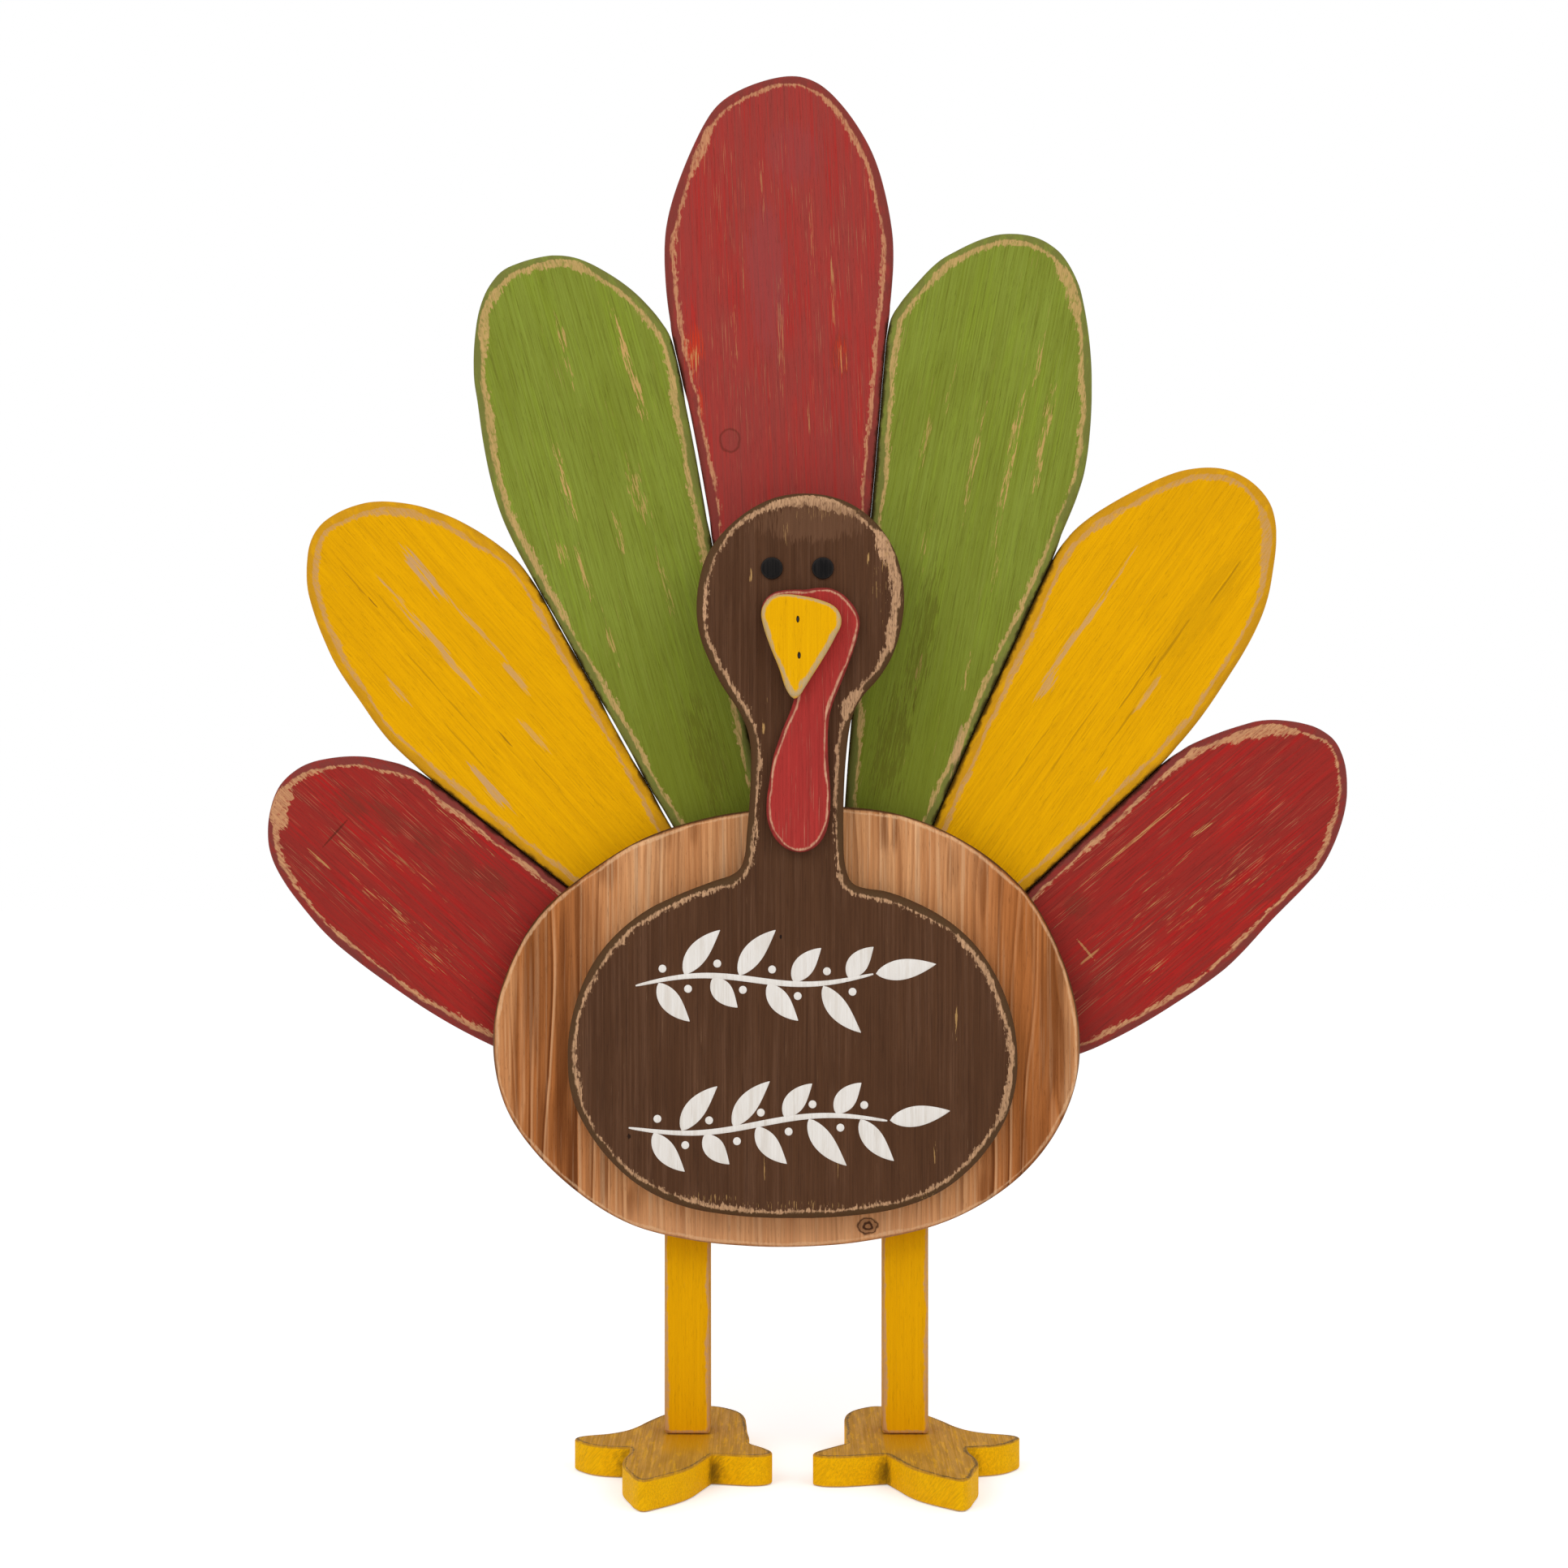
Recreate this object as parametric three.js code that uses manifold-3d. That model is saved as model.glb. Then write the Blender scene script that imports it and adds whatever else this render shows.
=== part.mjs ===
// Free-standing wooden turkey figure, a tabletop and porch decoration for the autumn holidays.
// Flat boards cut to outline with rounded edges: seven tail feathers fanned behind an oval body disc,
// a head and belly board on the front of the disc, and two square legs on toed feet.
// Millimetres, +Z up, the front faces -Y, the origin is the bottom centre of the whole figure.
import * as THREE from 'three';
import Module from 'manifold-3d';
import { mergeVertices } from 'three/addons/utils/BufferGeometryUtils.js';

const wasm = await Module();
wasm.setup();

// Fits between pieces
const seatGap = 0.3;
const seamGap = 0.9;
const holeClearance = 0.3;
const cutOverrun = 2;

// Fineness of the outlines
const chordTolerance = 0.12;
const longestChord = 30;
const stepsPerPoint = 12;
const roundSteps = 2;
const weldDistance = 0.0001;

// Body disc
const discWidth = 254.5;
const discHeight = 191;
const discThickness = 15.5;
const discRound = 2.5;

// Head and belly board
const boardWidth = 193.6;
const boardHeight = 311.9;
const boardThickness = 13;
const boardRound = 3.5;
const boardAcrossShare = 0.019;
const boardBottomShare = -0.852;

// Tail feathers
const featherThickness = 12;
const featherRound = 3.5;
const fanAcrossShare = 0.119;
const fanHeightShare = -0.283;
const featherReach = {
  feather_left_red: 272.2,
  feather_left_yellow: 330.4,
  feather_left_green: 384.8,
  feather_center_red: 443.7,
  feather_right_green: 384.5,
  feather_right_yellow: 325.9,
  feather_right_red: 271.9,
};

// Wattle
const wattleWidth = 42.1;
const wattleHeight = 113.2;
const wattleThickness = 5;
const wattleRound = 1.4;
const wattleAcrossShare = 0.079;
const wattleUpShare = 0.687;

// Beak
const beakWidth = 34.2;
const beakHeight = 44.5;
const beakThickness = 5.5;
const beakRound = 1.4;
const beakAcrossShare = -0.188;
const beakUpShare = 0.552;

// Eyes
const eyeDiameter = 9.6;
const eyeThickness = 1.3;
const eyeRim = 0.4;
const eyeAboveWattle = 3.8;

// Legs and feet
const legWidth = 20;
const legLength = 139.5;
const legTuck = 55.4;
const legRound = 1.2;
const footWidth = 93;
const footLength = 157;
const footThickness = 13.2;
const footRound = 0.8;

// What differs between the left and the right side
const sides = {
  left: { eyeAcrossShare: -0.092, legAcrossShare: -0.343, toeOutDegrees: 8.8, innerToeReach: 13 },
  right: { eyeAcrossShare: 0.134, legAcrossShare: 0.409, toeOutDegrees: 11.3, innerToeReach: 18.9 },
};

// Countersunk wood screws
const screwDiameter = 4;
const screwHeadDiameter = 8;
const screwHeadHeight = 2.4;
const screwHeadRim = 0.5;
const screwTip = 4;
const screwBite = 10;
const screwSides = 10;
const footScrewBite = 30;

// Brads through the beak
const bradDiameter = 1.3;
const bradHeadDiameter = 2;
const bradHeadHeight = 0.8;
const bradTip = 2;
const bradBite = 9;
const bradSink = 0.4;
const bradClearance = 0.2;

// Screw places
const screwEdge = 10;
const featherScrewPitch = 15;
const legScrewPitch = 24;
const boardScrewShares = [[-0.128, -0.61], [0.186, -0.61], [-0.128, -0.086], [0.225, -0.086]];
const bradShares = [[-0.088, 0.519], [-0.053, -0.173]];

// Paint and stain
const colors = {
  red: '#a22c30',
  green: '#7f9135',
  yellow: '#e2a806',
  stained: '#c08a5a',
  brown: '#5c4233',
  black: '#121212',
  steel: '#8f8d88',
};

// Rest heights and depths that follow from the stack of boards
const legTop = footThickness + seatGap + legLength;
const discCentre = { z: legTop - legTuck + discHeight / 2 };
const discBack = -seatGap;
const discFront = discBack - discThickness;
const boardBack = discFront - seatGap;
const boardFront = boardBack - boardThickness;
const wattleBack = boardFront - seatGap;
const wattleFront = wattleBack - wattleThickness;
const beakBack = wattleFront - seatGap;
const beakFront = beakBack - beakThickness;
const fanCentre = {
  x: fanAcrossShare * discWidth / 2,
  z: discCentre.z + fanHeightShare * discHeight / 2,
};
const boardFoot = {
  x: boardAcrossShare * discWidth / 2,
  z: discCentre.z + boardBottomShare * discHeight / 2,
};
const wattleCentre = {
  x: boardFoot.x + wattleAcrossShare * boardWidth / 2,
  z: boardFoot.z + wattleUpShare * boardHeight,
};
const beakCentre = {
  x: wattleCentre.x + beakAcrossShare * wattleWidth / 2,
  z: wattleCentre.z + beakUpShare * wattleHeight / 2,
};

// The feathers meet along straight seams that all point at the fan's centre.
// Degrees from upright, clockwise as seen from the front.
const fanSeamDegrees = [-88, -52, -29.7, -11.2, 5, 23.6, 46.8, 88];

// Each outline point is a share of the turn from the feather's middle to its seam, and a share of its reach.
// The points run up the left side, over the tip and down the right side.
const feathers = [
  {
    name: 'feather_left_red', color: colors.red, rootShare: 0.807, rootTurnShares: [-0.98, 1],
    outlineShares: [
      [-0.9, 0.45], [-0.74, 0.533], [-0.55, 0.63], [-0.34, 0.74], [-0.18, 0.831], [0, 0.91], [0.08, 0.942],
      [0.17, 0.968], [0.27, 0.985], [0.38, 0.996], [0.49, 1], [0.57, 0.995], [0.66, 0.982], [0.74, 0.961],
      [0.81, 0.937], [0.87, 0.914], [0.93, 0.88], [0.98, 0.845], [1, 0.8], [1, 0.6],
    ],
  },
  {
    name: 'feather_left_yellow', color: colors.yellow, rootShare: 0.848, rootTurnShares: [-1, 0.95],
    outlineShares: [
      [-1, 0.55], [-0.995, 0.66], [-0.97, 0.723], [-0.93, 0.755], [-0.87, 0.785], [-0.8, 0.827],
      [-0.72, 0.866], [-0.6, 0.908], [-0.51, 0.938], [-0.44, 0.956], [-0.32, 0.978], [-0.21, 0.993],
      [-0.09, 1], [0.05, 0.998], [0.2, 0.989], [0.32, 0.977], [0.48, 0.952], [0.59, 0.93], [0.74, 0.893],
      [0.83, 0.863], [0.93, 0.828], [0.98, 0.8], [1, 0.76], [0.99, 0.65], [0.95, 0.5],
    ],
  },
  {
    name: 'feather_left_green', color: colors.green, rootShare: 0.798, rootTurnShares: [-1, 0.8],
    outlineShares: [
      [-1, 0.46], [-1, 0.68], [-0.98, 0.735], [-0.92, 0.775], [-0.8, 0.828], [-0.71, 0.862], [-0.62, 0.901],
      [-0.53, 0.928], [-0.41, 0.959], [-0.31, 0.978], [-0.22, 0.99], [-0.09, 1], [0.13, 1], [0.27, 0.997],
      [0.43, 0.986], [0.59, 0.965], [0.75, 0.938], [0.85, 0.916], [0.94, 0.891], [0.985, 0.869], [1, 0.838],
      [1, 0.78], [0.97, 0.7], [0.91, 0.62], [0.82, 0.44],
    ],
  },
  {
    name: 'feather_center_red', color: colors.red, rootShare: 0.799, rootTurnShares: [-0.74, 0.88],
    outlineShares: [
      [-0.84, 0.3], [-0.953, 0.556], [-0.973, 0.63], [-1, 0.708], [-1.01, 0.762], [-0.98, 0.812],
      [-0.89, 0.864], [-0.69, 0.916], [-0.41, 0.971], [-0.27, 0.985], [-0.12, 0.993], [0.05, 0.999],
      [0.22, 1], [0.36, 0.993], [0.47, 0.981], [0.64, 0.954], [0.81, 0.916], [0.98, 0.847], [1.015, 0.8],
      [1, 0.74], [1, 0.66], [0.97, 0.56], [0.82, 0.36],
    ],
  },
  {
    name: 'feather_right_green', color: colors.green, rootShare: 0.809, rootTurnShares: [-1, 0.94],
    outlineShares: [
      [-1, 0.45], [-0.98, 0.653], [-1, 0.75], [-1, 0.85], [-0.98, 0.882], [-0.89, 0.905], [-0.78, 0.931],
      [-0.65, 0.955], [-0.5, 0.972], [-0.34, 0.989], [-0.23, 0.996], [-0.09, 1], [0.04, 0.999],
      [0.19, 0.99], [0.31, 0.974], [0.4, 0.958], [0.5, 0.932], [0.6, 0.904], [0.71, 0.869], [0.82, 0.829],
      [0.92, 0.788], [0.98, 0.755], [1, 0.72], [1, 0.55], [0.93, 0.42],
    ],
  },
  {
    name: 'feather_right_yellow', color: colors.yellow, rootShare: 0.777, rootTurnShares: [-1, 0.97],
    outlineShares: [
      [-1, 0.5], [-1, 0.7], [-0.98, 0.77], [-0.95, 0.812], [-0.89, 0.838], [-0.75, 0.879], [-0.57, 0.926],
      [-0.43, 0.959], [-0.27, 0.984], [-0.14, 0.996], [0.01, 1], [0.15, 0.996], [0.25, 0.987],
      [0.37, 0.966], [0.47, 0.94], [0.56, 0.914], [0.65, 0.886], [0.73, 0.851], [0.81, 0.803],
      [0.88, 0.748], [0.95, 0.695], [0.98, 0.64], [0.98, 0.5],
    ],
  },
  {
    name: 'feather_right_red', color: colors.red, rootShare: 0.594, rootTurnShares: [-1, 0.97],
    outlineShares: [
      [-1, 0.5], [-1, 0.75], [-0.98, 0.81], [-0.92, 0.86], [-0.87, 0.9], [-0.83, 0.926], [-0.77, 0.951],
      [-0.69, 0.977], [-0.63, 0.991], [-0.55, 1], [-0.46, 0.996], [-0.38, 0.985], [-0.29, 0.967],
      [-0.22, 0.947], [-0.14, 0.921], [-0.04, 0.879], [0.03, 0.832], [0.11, 0.781], [0.21, 0.731],
      [0.32, 0.678], [0.51, 0.564], [0.63, 0.498], [0.77, 0.42],
    ],
  },
];

// Body disc: shares of half its width and half its height, clockwise from the top
const discOutlineShares = [
  [0.02, 1], [0.197, 1], [0.382, 0.967], [0.545, 0.886], [0.709, 0.75], [0.841, 0.569], [0.935, 0.326],
  [0.985, 0.109], [1, -0.112], [0.977, -0.3], [0.905, -0.507], [0.792, -0.684], [0.64, -0.825],
  [0.485, -0.912], [0.228, -0.982], [0.028, -1], [-0.129, -0.997], [-0.334, -0.968], [-0.538, -0.895],
  [-0.712, -0.754], [-0.865, -0.56], [-0.958, -0.37], [-1, -0.15], [-0.993, 0.079], [-0.94, 0.297],
  [-0.84, 0.518], [-0.66, 0.72], [-0.477, 0.864], [-0.262, 0.953], [-0.12, 0.982],
];

// Head and belly board: shares of half its width and of its height, clockwise from the top of the head
const boardOutlineShares = [
  [0.037, 1], [0.155, 0.997], [0.258, 0.986], [0.353, 0.965], [0.42, 0.94], [0.465, 0.912], [0.49, 0.88],
  [0.496, 0.848], [0.482, 0.814], [0.449, 0.78], [0.39, 0.748], [0.312, 0.72], [0.268, 0.695],
  [0.247, 0.662], [0.234, 0.62], [0.227, 0.57], [0.228, 0.515], [0.24, 0.478], [0.275, 0.46],
  [0.444, 0.448], [0.66, 0.417], [0.804, 0.38], [0.912, 0.33], [0.981, 0.272], [1, 0.222],
  [0.991, 0.181], [0.952, 0.14], [0.873, 0.098], [0.765, 0.061], [0.631, 0.032], [0.448, 0.012],
  [0.207, 0.002], [0.01, 0], [-0.193, 0.002], [-0.459, 0.014], [-0.647, 0.038], [-0.79, 0.073],
  [-0.905, 0.118], [-0.978, 0.165], [-1, 0.212], [-0.988, 0.266], [-0.924, 0.33], [-0.82, 0.38],
  [-0.647, 0.425], [-0.348, 0.465], [-0.255, 0.476], [-0.224, 0.488], [-0.209, 0.515], [-0.196, 0.56],
  [-0.187, 0.6], [-0.184, 0.632], [-0.191, 0.66], [-0.213, 0.684], [-0.265, 0.711], [-0.323, 0.74],
  [-0.376, 0.773], [-0.413, 0.805], [-0.427, 0.838], [-0.418, 0.875], [-0.386, 0.911], [-0.337, 0.936],
  [-0.268, 0.959], [-0.183, 0.979], [-0.081, 0.994],
];

// Wattle: shares of half its width and half its height, clockwise from the upper left behind the beak
const wattleOutlineShares = [
  [-1, 0.82], [-0.94, 0.9], [-0.74, 0.963], [-0.44, 0.985], [-0.145, 0.985], [0.135, 1], [0.416, 0.995],
  [0.615, 0.96], [0.78, 0.908], [0.93, 0.832], [1, 0.756], [0.986, 0.68], [0.895, 0.558], [0.78, 0.431],
  [0.615, 0.27], [0.482, 0.155], [0.378, 0.012], [0.354, -0.2], [0.382, -0.422], [0.406, -0.588],
  [0.392, -0.698], [0.34, -0.82], [0.2, -0.925], [-0.012, -0.985], [-0.25, -1], [-0.515, -0.968],
  [-0.72, -0.896], [-0.845, -0.8], [-0.895, -0.696], [-0.881, -0.588], [-0.824, -0.435], [-0.753, -0.281],
  [-0.63, -0.138], [-0.458, 0.037], [-0.34, 0.15], [-0.3, 0.24], [-0.36, 0.34], [-0.55, 0.45],
  [-0.76, 0.57], [-0.92, 0.7],
];

// Beak: shares of half its width and half its height, clockwise from the upper left
const beakOutlineShares = [
  [-1, 0.618], [-0.945, 0.79], [-0.836, 0.888], [-0.673, 0.968], [-0.42, 1], [-0.088, 0.982],
  [0.316, 0.919], [0.65, 0.843], [0.86, 0.744], [0.978, 0.6], [1, 0.443], [0.905, 0.267], [0.65, -0.065],
  [0.403, -0.38], [0.152, -0.694], [-0.03, -0.93], [-0.165, -1], [-0.305, -0.915], [-0.503, -0.51],
  [-0.713, -0.128], [-0.918, 0.317],
];

// Foot: shares of half its width, outwards, and of its length, forwards from the middle of the leg.
// Each run goes from one inner corner between two toes to the next. The inner toe starts at its root.
const innerToeRootShare = -0.667;
const footRunShares = [
  [
    [0.39, 0.252], [0.52, 0.253], [0.67, 0.247], [0.805, 0.226], [0.905, 0.194], [0.98, 0.158],
    [0.955, 0.13], [0.87, 0.108], [0.74, 0.085], [0.625, 0.05], [0.54, 0], [0.485, -0.075], [0.415, -0.16],
    [0.335, -0.235], [0.195, -0.31], [-0.01, -0.352], [-0.17, -0.331], [-0.3, -0.293], [-0.4, -0.236],
    [-0.47, -0.156], [-0.55, -0.032], [-0.625, 0.064], [innerToeRootShare, 0.137],
  ],
  [
    [innerToeRootShare, 0.137], [-0.753, 0.162], [-0.87, 0.197], [-0.968, 0.232], [-1, 0.261],
    [-0.946, 0.289], [-0.828, 0.303], [-0.69, 0.304], [-0.54, 0.299], [-0.41, 0.297],
  ],
  [
    [-0.41, 0.297], [-0.387, 0.338], [-0.357, 0.408], [-0.312, 0.484], [-0.237, 0.541], [-0.14, 0.589],
    [-0.06, 0.63], [0, 0.648], [0.07, 0.628], [0.14, 0.588], [0.215, 0.535], [0.3, 0.474], [0.342, 0.414],
    [0.35, 0.344], [0.361, 0.293], [0.39, 0.252],
  ],
];

// A smooth curve through the given points, as many short chords
function smoothRun(points, closed) {
  const knots = points.map(([across, up]) => new THREE.Vector3(across, up, 0));
  const curve = new THREE.CatmullRomCurve3(knots, closed, 'centripetal');
  const steps = (closed ? knots.length : knots.length - 1) * stepsPerPoint;
  return curve.getPoints(steps);
}

// Drops the points that a straight chord replaces within the tolerance
function thinned(points) {
  const kept = [points[0]];
  const nearest = new THREE.Vector3();
  let passed = [];
  points.forEach((end) => {
    const chord = new THREE.Line3(kept.at(-1), end);
    const strays = passed.some((point) => {
      chord.closestPointToPoint(point, true, nearest);
      return nearest.distanceTo(point) > chordTolerance;
    });
    if (passed.length > 0 && (strays || chord.distance() > longestChord)) {
      kept.push(passed.at(-1));
      passed = [];
    }
    if (end !== points[0]) passed.push(end);
  });
  return kept;
}

// A closed shape from runs that join end to end; the last point of each run starts the next
function shapeFromRuns(runs) {
  const points = runs.flatMap((run) => thinned(run));
  return new THREE.Shape(points.map((point) => new THREE.Vector2(point.x, point.y)));
}

function ovalShape(outlineShares, halfWidth, height) {
  const points = outlineShares.map(([across, up]) => [across * halfWidth, up * height]);
  return shapeFromRuns([smoothRun(points, true)]);
}

// A board lies in its outline's plane and is as thick as given, with both edges rounded over
function boardGeometry(shape, thickness, round) {
  return new THREE.ExtrudeGeometry(shape, {
    depth: thickness - 2 * round,
    bevelEnabled: true,
    bevelThickness: round,
    bevelSize: round,
    bevelOffset: -round,
    bevelSegments: roundSteps,
    curveSegments: stepsPerPoint,
  }).translate(0, 0, round);
}

// Stands a board up: its outline faces the front, and its back lies at y = 0 of its own frame
function uprightBoard(shape, thickness, round) {
  return boardGeometry(shape, thickness, round).rotateX(Math.PI / 2);
}

function solidOf(geometry) {
  const bare = geometry.clone();
  bare.deleteAttribute('normal');
  bare.deleteAttribute('uv');
  const merged = mergeVertices(bare, weldDistance);
  const vertProperties = new Float32Array(merged.attributes.position.array);
  const triVerts = new Uint32Array(merged.index.array);
  return new wasm.Manifold(new wasm.Mesh({ numProp: 3, vertProperties, triVerts }));
}

function geometryOf(solid) {
  const mesh = solid.getMesh();
  const geometry = new THREE.BufferGeometry();
  geometry.setAttribute('position', new THREE.BufferAttribute(mesh.vertProperties, 3));
  geometry.setIndex(new THREE.BufferAttribute(mesh.triVerts, 1));
  const flat = geometry.toNonIndexed();
  flat.computeVertexNormals();
  return flat;
}

function painted(color) {
  return new THREE.MeshStandardMaterial({ color, roughness: 0.62, metalness: 0 });
}

function steel() {
  return new THREE.MeshStandardMaterial({ color: colors.steel, roughness: 0.45, metalness: 0.9 });
}

function piece(name, geometry, material, place) {
  const mesh = new THREE.Mesh(geometry, material);
  mesh.name = name;
  mesh.position.set(place.x, place.y, place.z);
  return mesh;
}

// Countersunk screw or brad along +Y with the top of its head at y = 0.
// A hole is the same turned shape grown by its clearance and run out past the head.
function fastenerProfile(size, grow) {
  const shank = size.diameter / 2 + grow;
  const head = size.headDiameter / 2 + grow;
  const profile = [
    new THREE.Vector2(0, -size.length - grow),
    new THREE.Vector2(shank, size.tip - size.length - grow),
    new THREE.Vector2(shank, -size.headHeight - grow),
    new THREE.Vector2(head, -size.headRim - grow),
  ];
  const top = grow > 0 ? cutOverrun : 0;
  profile.push(new THREE.Vector2(head, top), new THREE.Vector2(0, top));
  return profile;
}

function fastener(name, size, place, turn) {
  const geometry = new THREE.LatheGeometry(fastenerProfile(size, 0), screwSides);
  const mesh = piece(name, geometry, steel(), place);
  mesh.rotation.x = turn;
  mesh.userData.hole = new THREE.LatheGeometry(fastenerProfile(size, size.clearance), screwSides);
  return mesh;
}

function screwSize(length) {
  return {
    length,
    diameter: screwDiameter,
    headDiameter: screwHeadDiameter,
    headHeight: screwHeadHeight,
    headRim: screwHeadRim,
    tip: screwTip,
    clearance: holeClearance,
  };
}

function bradSize(length) {
  return {
    length,
    diameter: bradDiameter,
    headDiameter: bradHeadDiameter,
    headHeight: bradHeadHeight,
    headRim: bradSink,
    tip: bradTip,
    clearance: bradClearance,
  };
}

// Drills the holes of the given fasteners into a board
function drill(board, fasteners) {
  board.updateMatrixWorld(true);
  const intoBoard = board.matrixWorld.clone().invert();
  let solid = solidOf(board.geometry);
  for (const driven of fasteners) {
    driven.updateMatrixWorld(true);
    const hole = driven.userData.hole.clone();
    hole.applyMatrix4(driven.matrixWorld).applyMatrix4(intoBoard);
    solid = solid.subtract(solidOf(hole));
  }
  board.geometry = geometryOf(solid);
}

// A point of a feather in its own frame: upright on its middle line, from the fan's centre
function featherPoint(turnShare, reach, halfTurn) {
  const turn = turnShare * halfTurn;
  const inset = turnShare * seamGap / 2;
  return [
    Math.sin(turn) * reach - inset * Math.cos(turn),
    Math.cos(turn) * reach + inset * Math.sin(turn),
  ];
}

// How far a feather's root lies from the fan's centre, as a share of the disc's reach in that direction
function rootReachOf(feather, middle) {
  const discReach = 1 / Math.hypot(2 * Math.sin(middle) / discWidth, 2 * Math.cos(middle) / discHeight);
  return feather.rootShare * discReach;
}

function featherShape(feather, halfTurn, rootReach) {
  const tipReach = featherReach[feather.name];
  const [rootLeft, rootRight] = feather.rootTurnShares;
  const points = [
    featherPoint(rootLeft, rootReach, halfTurn),
    ...feather.outlineShares.map(([turn, reachShare]) => featherPoint(turn, reachShare * tipReach, halfTurn)),
    featherPoint(rootRight, rootReach, halfTurn),
  ];
  const side = smoothRun(points, false);
  const rootEdge = [side.at(-1), side[0]];
  return shapeFromRuns([side, rootEdge]);
}

// One feather with the two screws that hold it to the back of the disc
function buildFeather(feather, index) {
  const left = THREE.MathUtils.degToRad(fanSeamDegrees[index]);
  const right = THREE.MathUtils.degToRad(fanSeamDegrees[index + 1]);
  const middle = (left + right) / 2;
  const rootReach = rootReachOf(feather, middle);
  const shape = featherShape(feather, (right - left) / 2, rootReach);
  const geometry = uprightBoard(shape, featherThickness, featherRound);
  const place = { x: fanCentre.x, y: featherThickness, z: fanCentre.z };
  const board = piece(feather.name, geometry, painted(feather.color), place);
  board.rotation.y = middle;
  const size = screwSize(featherThickness + screwBite);
  const firstReach = rootReach + screwEdge;
  const screws = [firstReach, firstReach + featherScrewPitch].map((reach, row) => {
    const screwPlace = {
      x: fanCentre.x + Math.sin(middle) * reach,
      y: featherThickness - holeClearance,
      z: fanCentre.z + Math.cos(middle) * reach,
    };
    return fastener(`${feather.name}_screw_${row + 1}`, size, screwPlace, 0);
  });
  drill(board, screws);
  return { board, screws };
}

function buildDisc() {
  const shape = ovalShape(discOutlineShares, discWidth / 2, discHeight / 2);
  const geometry = uprightBoard(shape, discThickness, discRound);
  return piece('body_disc', geometry, painted(colors.stained), { x: 0, y: discBack, z: discCentre.z });
}

function buildHeadBoard() {
  const shape = ovalShape(boardOutlineShares, boardWidth / 2, boardHeight);
  const geometry = uprightBoard(shape, boardThickness, boardRound);
  const place = { x: boardFoot.x, y: boardBack, z: boardFoot.z };
  return piece('head_and_belly_board', geometry, painted(colors.brown), place);
}

function buildHeadBoardScrews() {
  const size = screwSize(discThickness + screwBite);
  return boardScrewShares.map(([across, up], index) => {
    const place = {
      x: across * discWidth / 2,
      y: discBack - holeClearance,
      z: discCentre.z + up * discHeight / 2,
    };
    return fastener(`belly_screw_${index + 1}`, size, place, 0);
  });
}

function buildWattle() {
  const shape = ovalShape(wattleOutlineShares, wattleWidth / 2, wattleHeight / 2);
  const geometry = uprightBoard(shape, wattleThickness, wattleRound);
  return piece('wattle', geometry, painted(colors.red), { ...wattleCentre, y: wattleBack });
}

function buildBeak() {
  const shape = ovalShape(beakOutlineShares, beakWidth / 2, beakHeight / 2);
  const geometry = uprightBoard(shape, beakThickness, beakRound);
  return piece('beak', geometry, painted(colors.yellow), { ...beakCentre, y: beakBack });
}

function buildBeakBrads() {
  const size = bradSize(beakThickness + wattleThickness + bradBite);
  return bradShares.map(([across, up], index) => {
    const place = {
      x: beakCentre.x + across * beakWidth / 2,
      y: beakFront + bradSink,
      z: beakCentre.z + up * beakHeight / 2,
    };
    return fastener(`beak_brad_${index + 1}`, size, place, Math.PI);
  });
}

// A flat-backed wooden dot with a low domed front
function buildEye(side) {
  const radius = eyeDiameter / 2;
  const dome = new THREE.QuadraticBezierCurve(
    new THREE.Vector2(radius, eyeRim),
    new THREE.Vector2(radius - eyeRim, eyeThickness),
    new THREE.Vector2(0, eyeThickness),
  );
  const profile = [new THREE.Vector2(0, 0), new THREE.Vector2(radius, 0), ...dome.getPoints(roundSteps + 2)];
  const geometry = new THREE.LatheGeometry(profile, 2 * screwSides).rotateX(Math.PI);
  const place = {
    x: boardFoot.x + sides[side].eyeAcrossShare * boardWidth / 2,
    y: boardFront - seatGap,
    z: wattleCentre.z + wattleHeight / 2 + eyeAboveWattle + radius,
  };
  return piece(`eye_${side}`, geometry, painted(colors.black), place);
}

function legPlace(side) {
  return { x: sides[side].legAcrossShare * discWidth / 2, y: legWidth / 2, z: footThickness + seatGap };
}

// A square bar with its four long edges eased
function buildLeg(side) {
  const reach = legWidth / 2 - legRound;
  const shape = new THREE.Shape();
  shape.absarc(reach, reach, legRound, 0, Math.PI / 2);
  shape.absarc(-reach, reach, legRound, Math.PI / 2, Math.PI);
  shape.absarc(-reach, -reach, legRound, Math.PI, 1.5 * Math.PI);
  shape.absarc(reach, -reach, legRound, 1.5 * Math.PI, 2 * Math.PI);
  const geometry = new THREE.ExtrudeGeometry(shape, {
    depth: legLength,
    bevelEnabled: false,
    curveSegments: roundSteps + 1,
  });
  return piece(`leg_${side}`, geometry, painted(colors.yellow), legPlace(side));
}

function buildLegScrews(side) {
  const size = screwSize(legWidth + screwBite);
  const highest = legTop - screwEdge;
  return [highest, highest - legScrewPitch].map((height, index) => {
    const place = { x: legPlace(side).x, y: legWidth - holeClearance, z: height };
    return fastener(`leg_${side}_screw_${index + 1}`, size, place, 0);
  });
}

// How far outwards a foot's outline point lies. Past its root, the inner toe has a reach of its own.
function footAcross(acrossShare, side) {
  if (acrossShare > innerToeRootShare) return acrossShare * footWidth / 2;
  const toeShare = (innerToeRootShare - acrossShare) / (1 + innerToeRootShare);
  return innerToeRootShare * footWidth / 2 - toeShare * sides[side].innerToeReach;
}

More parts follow.
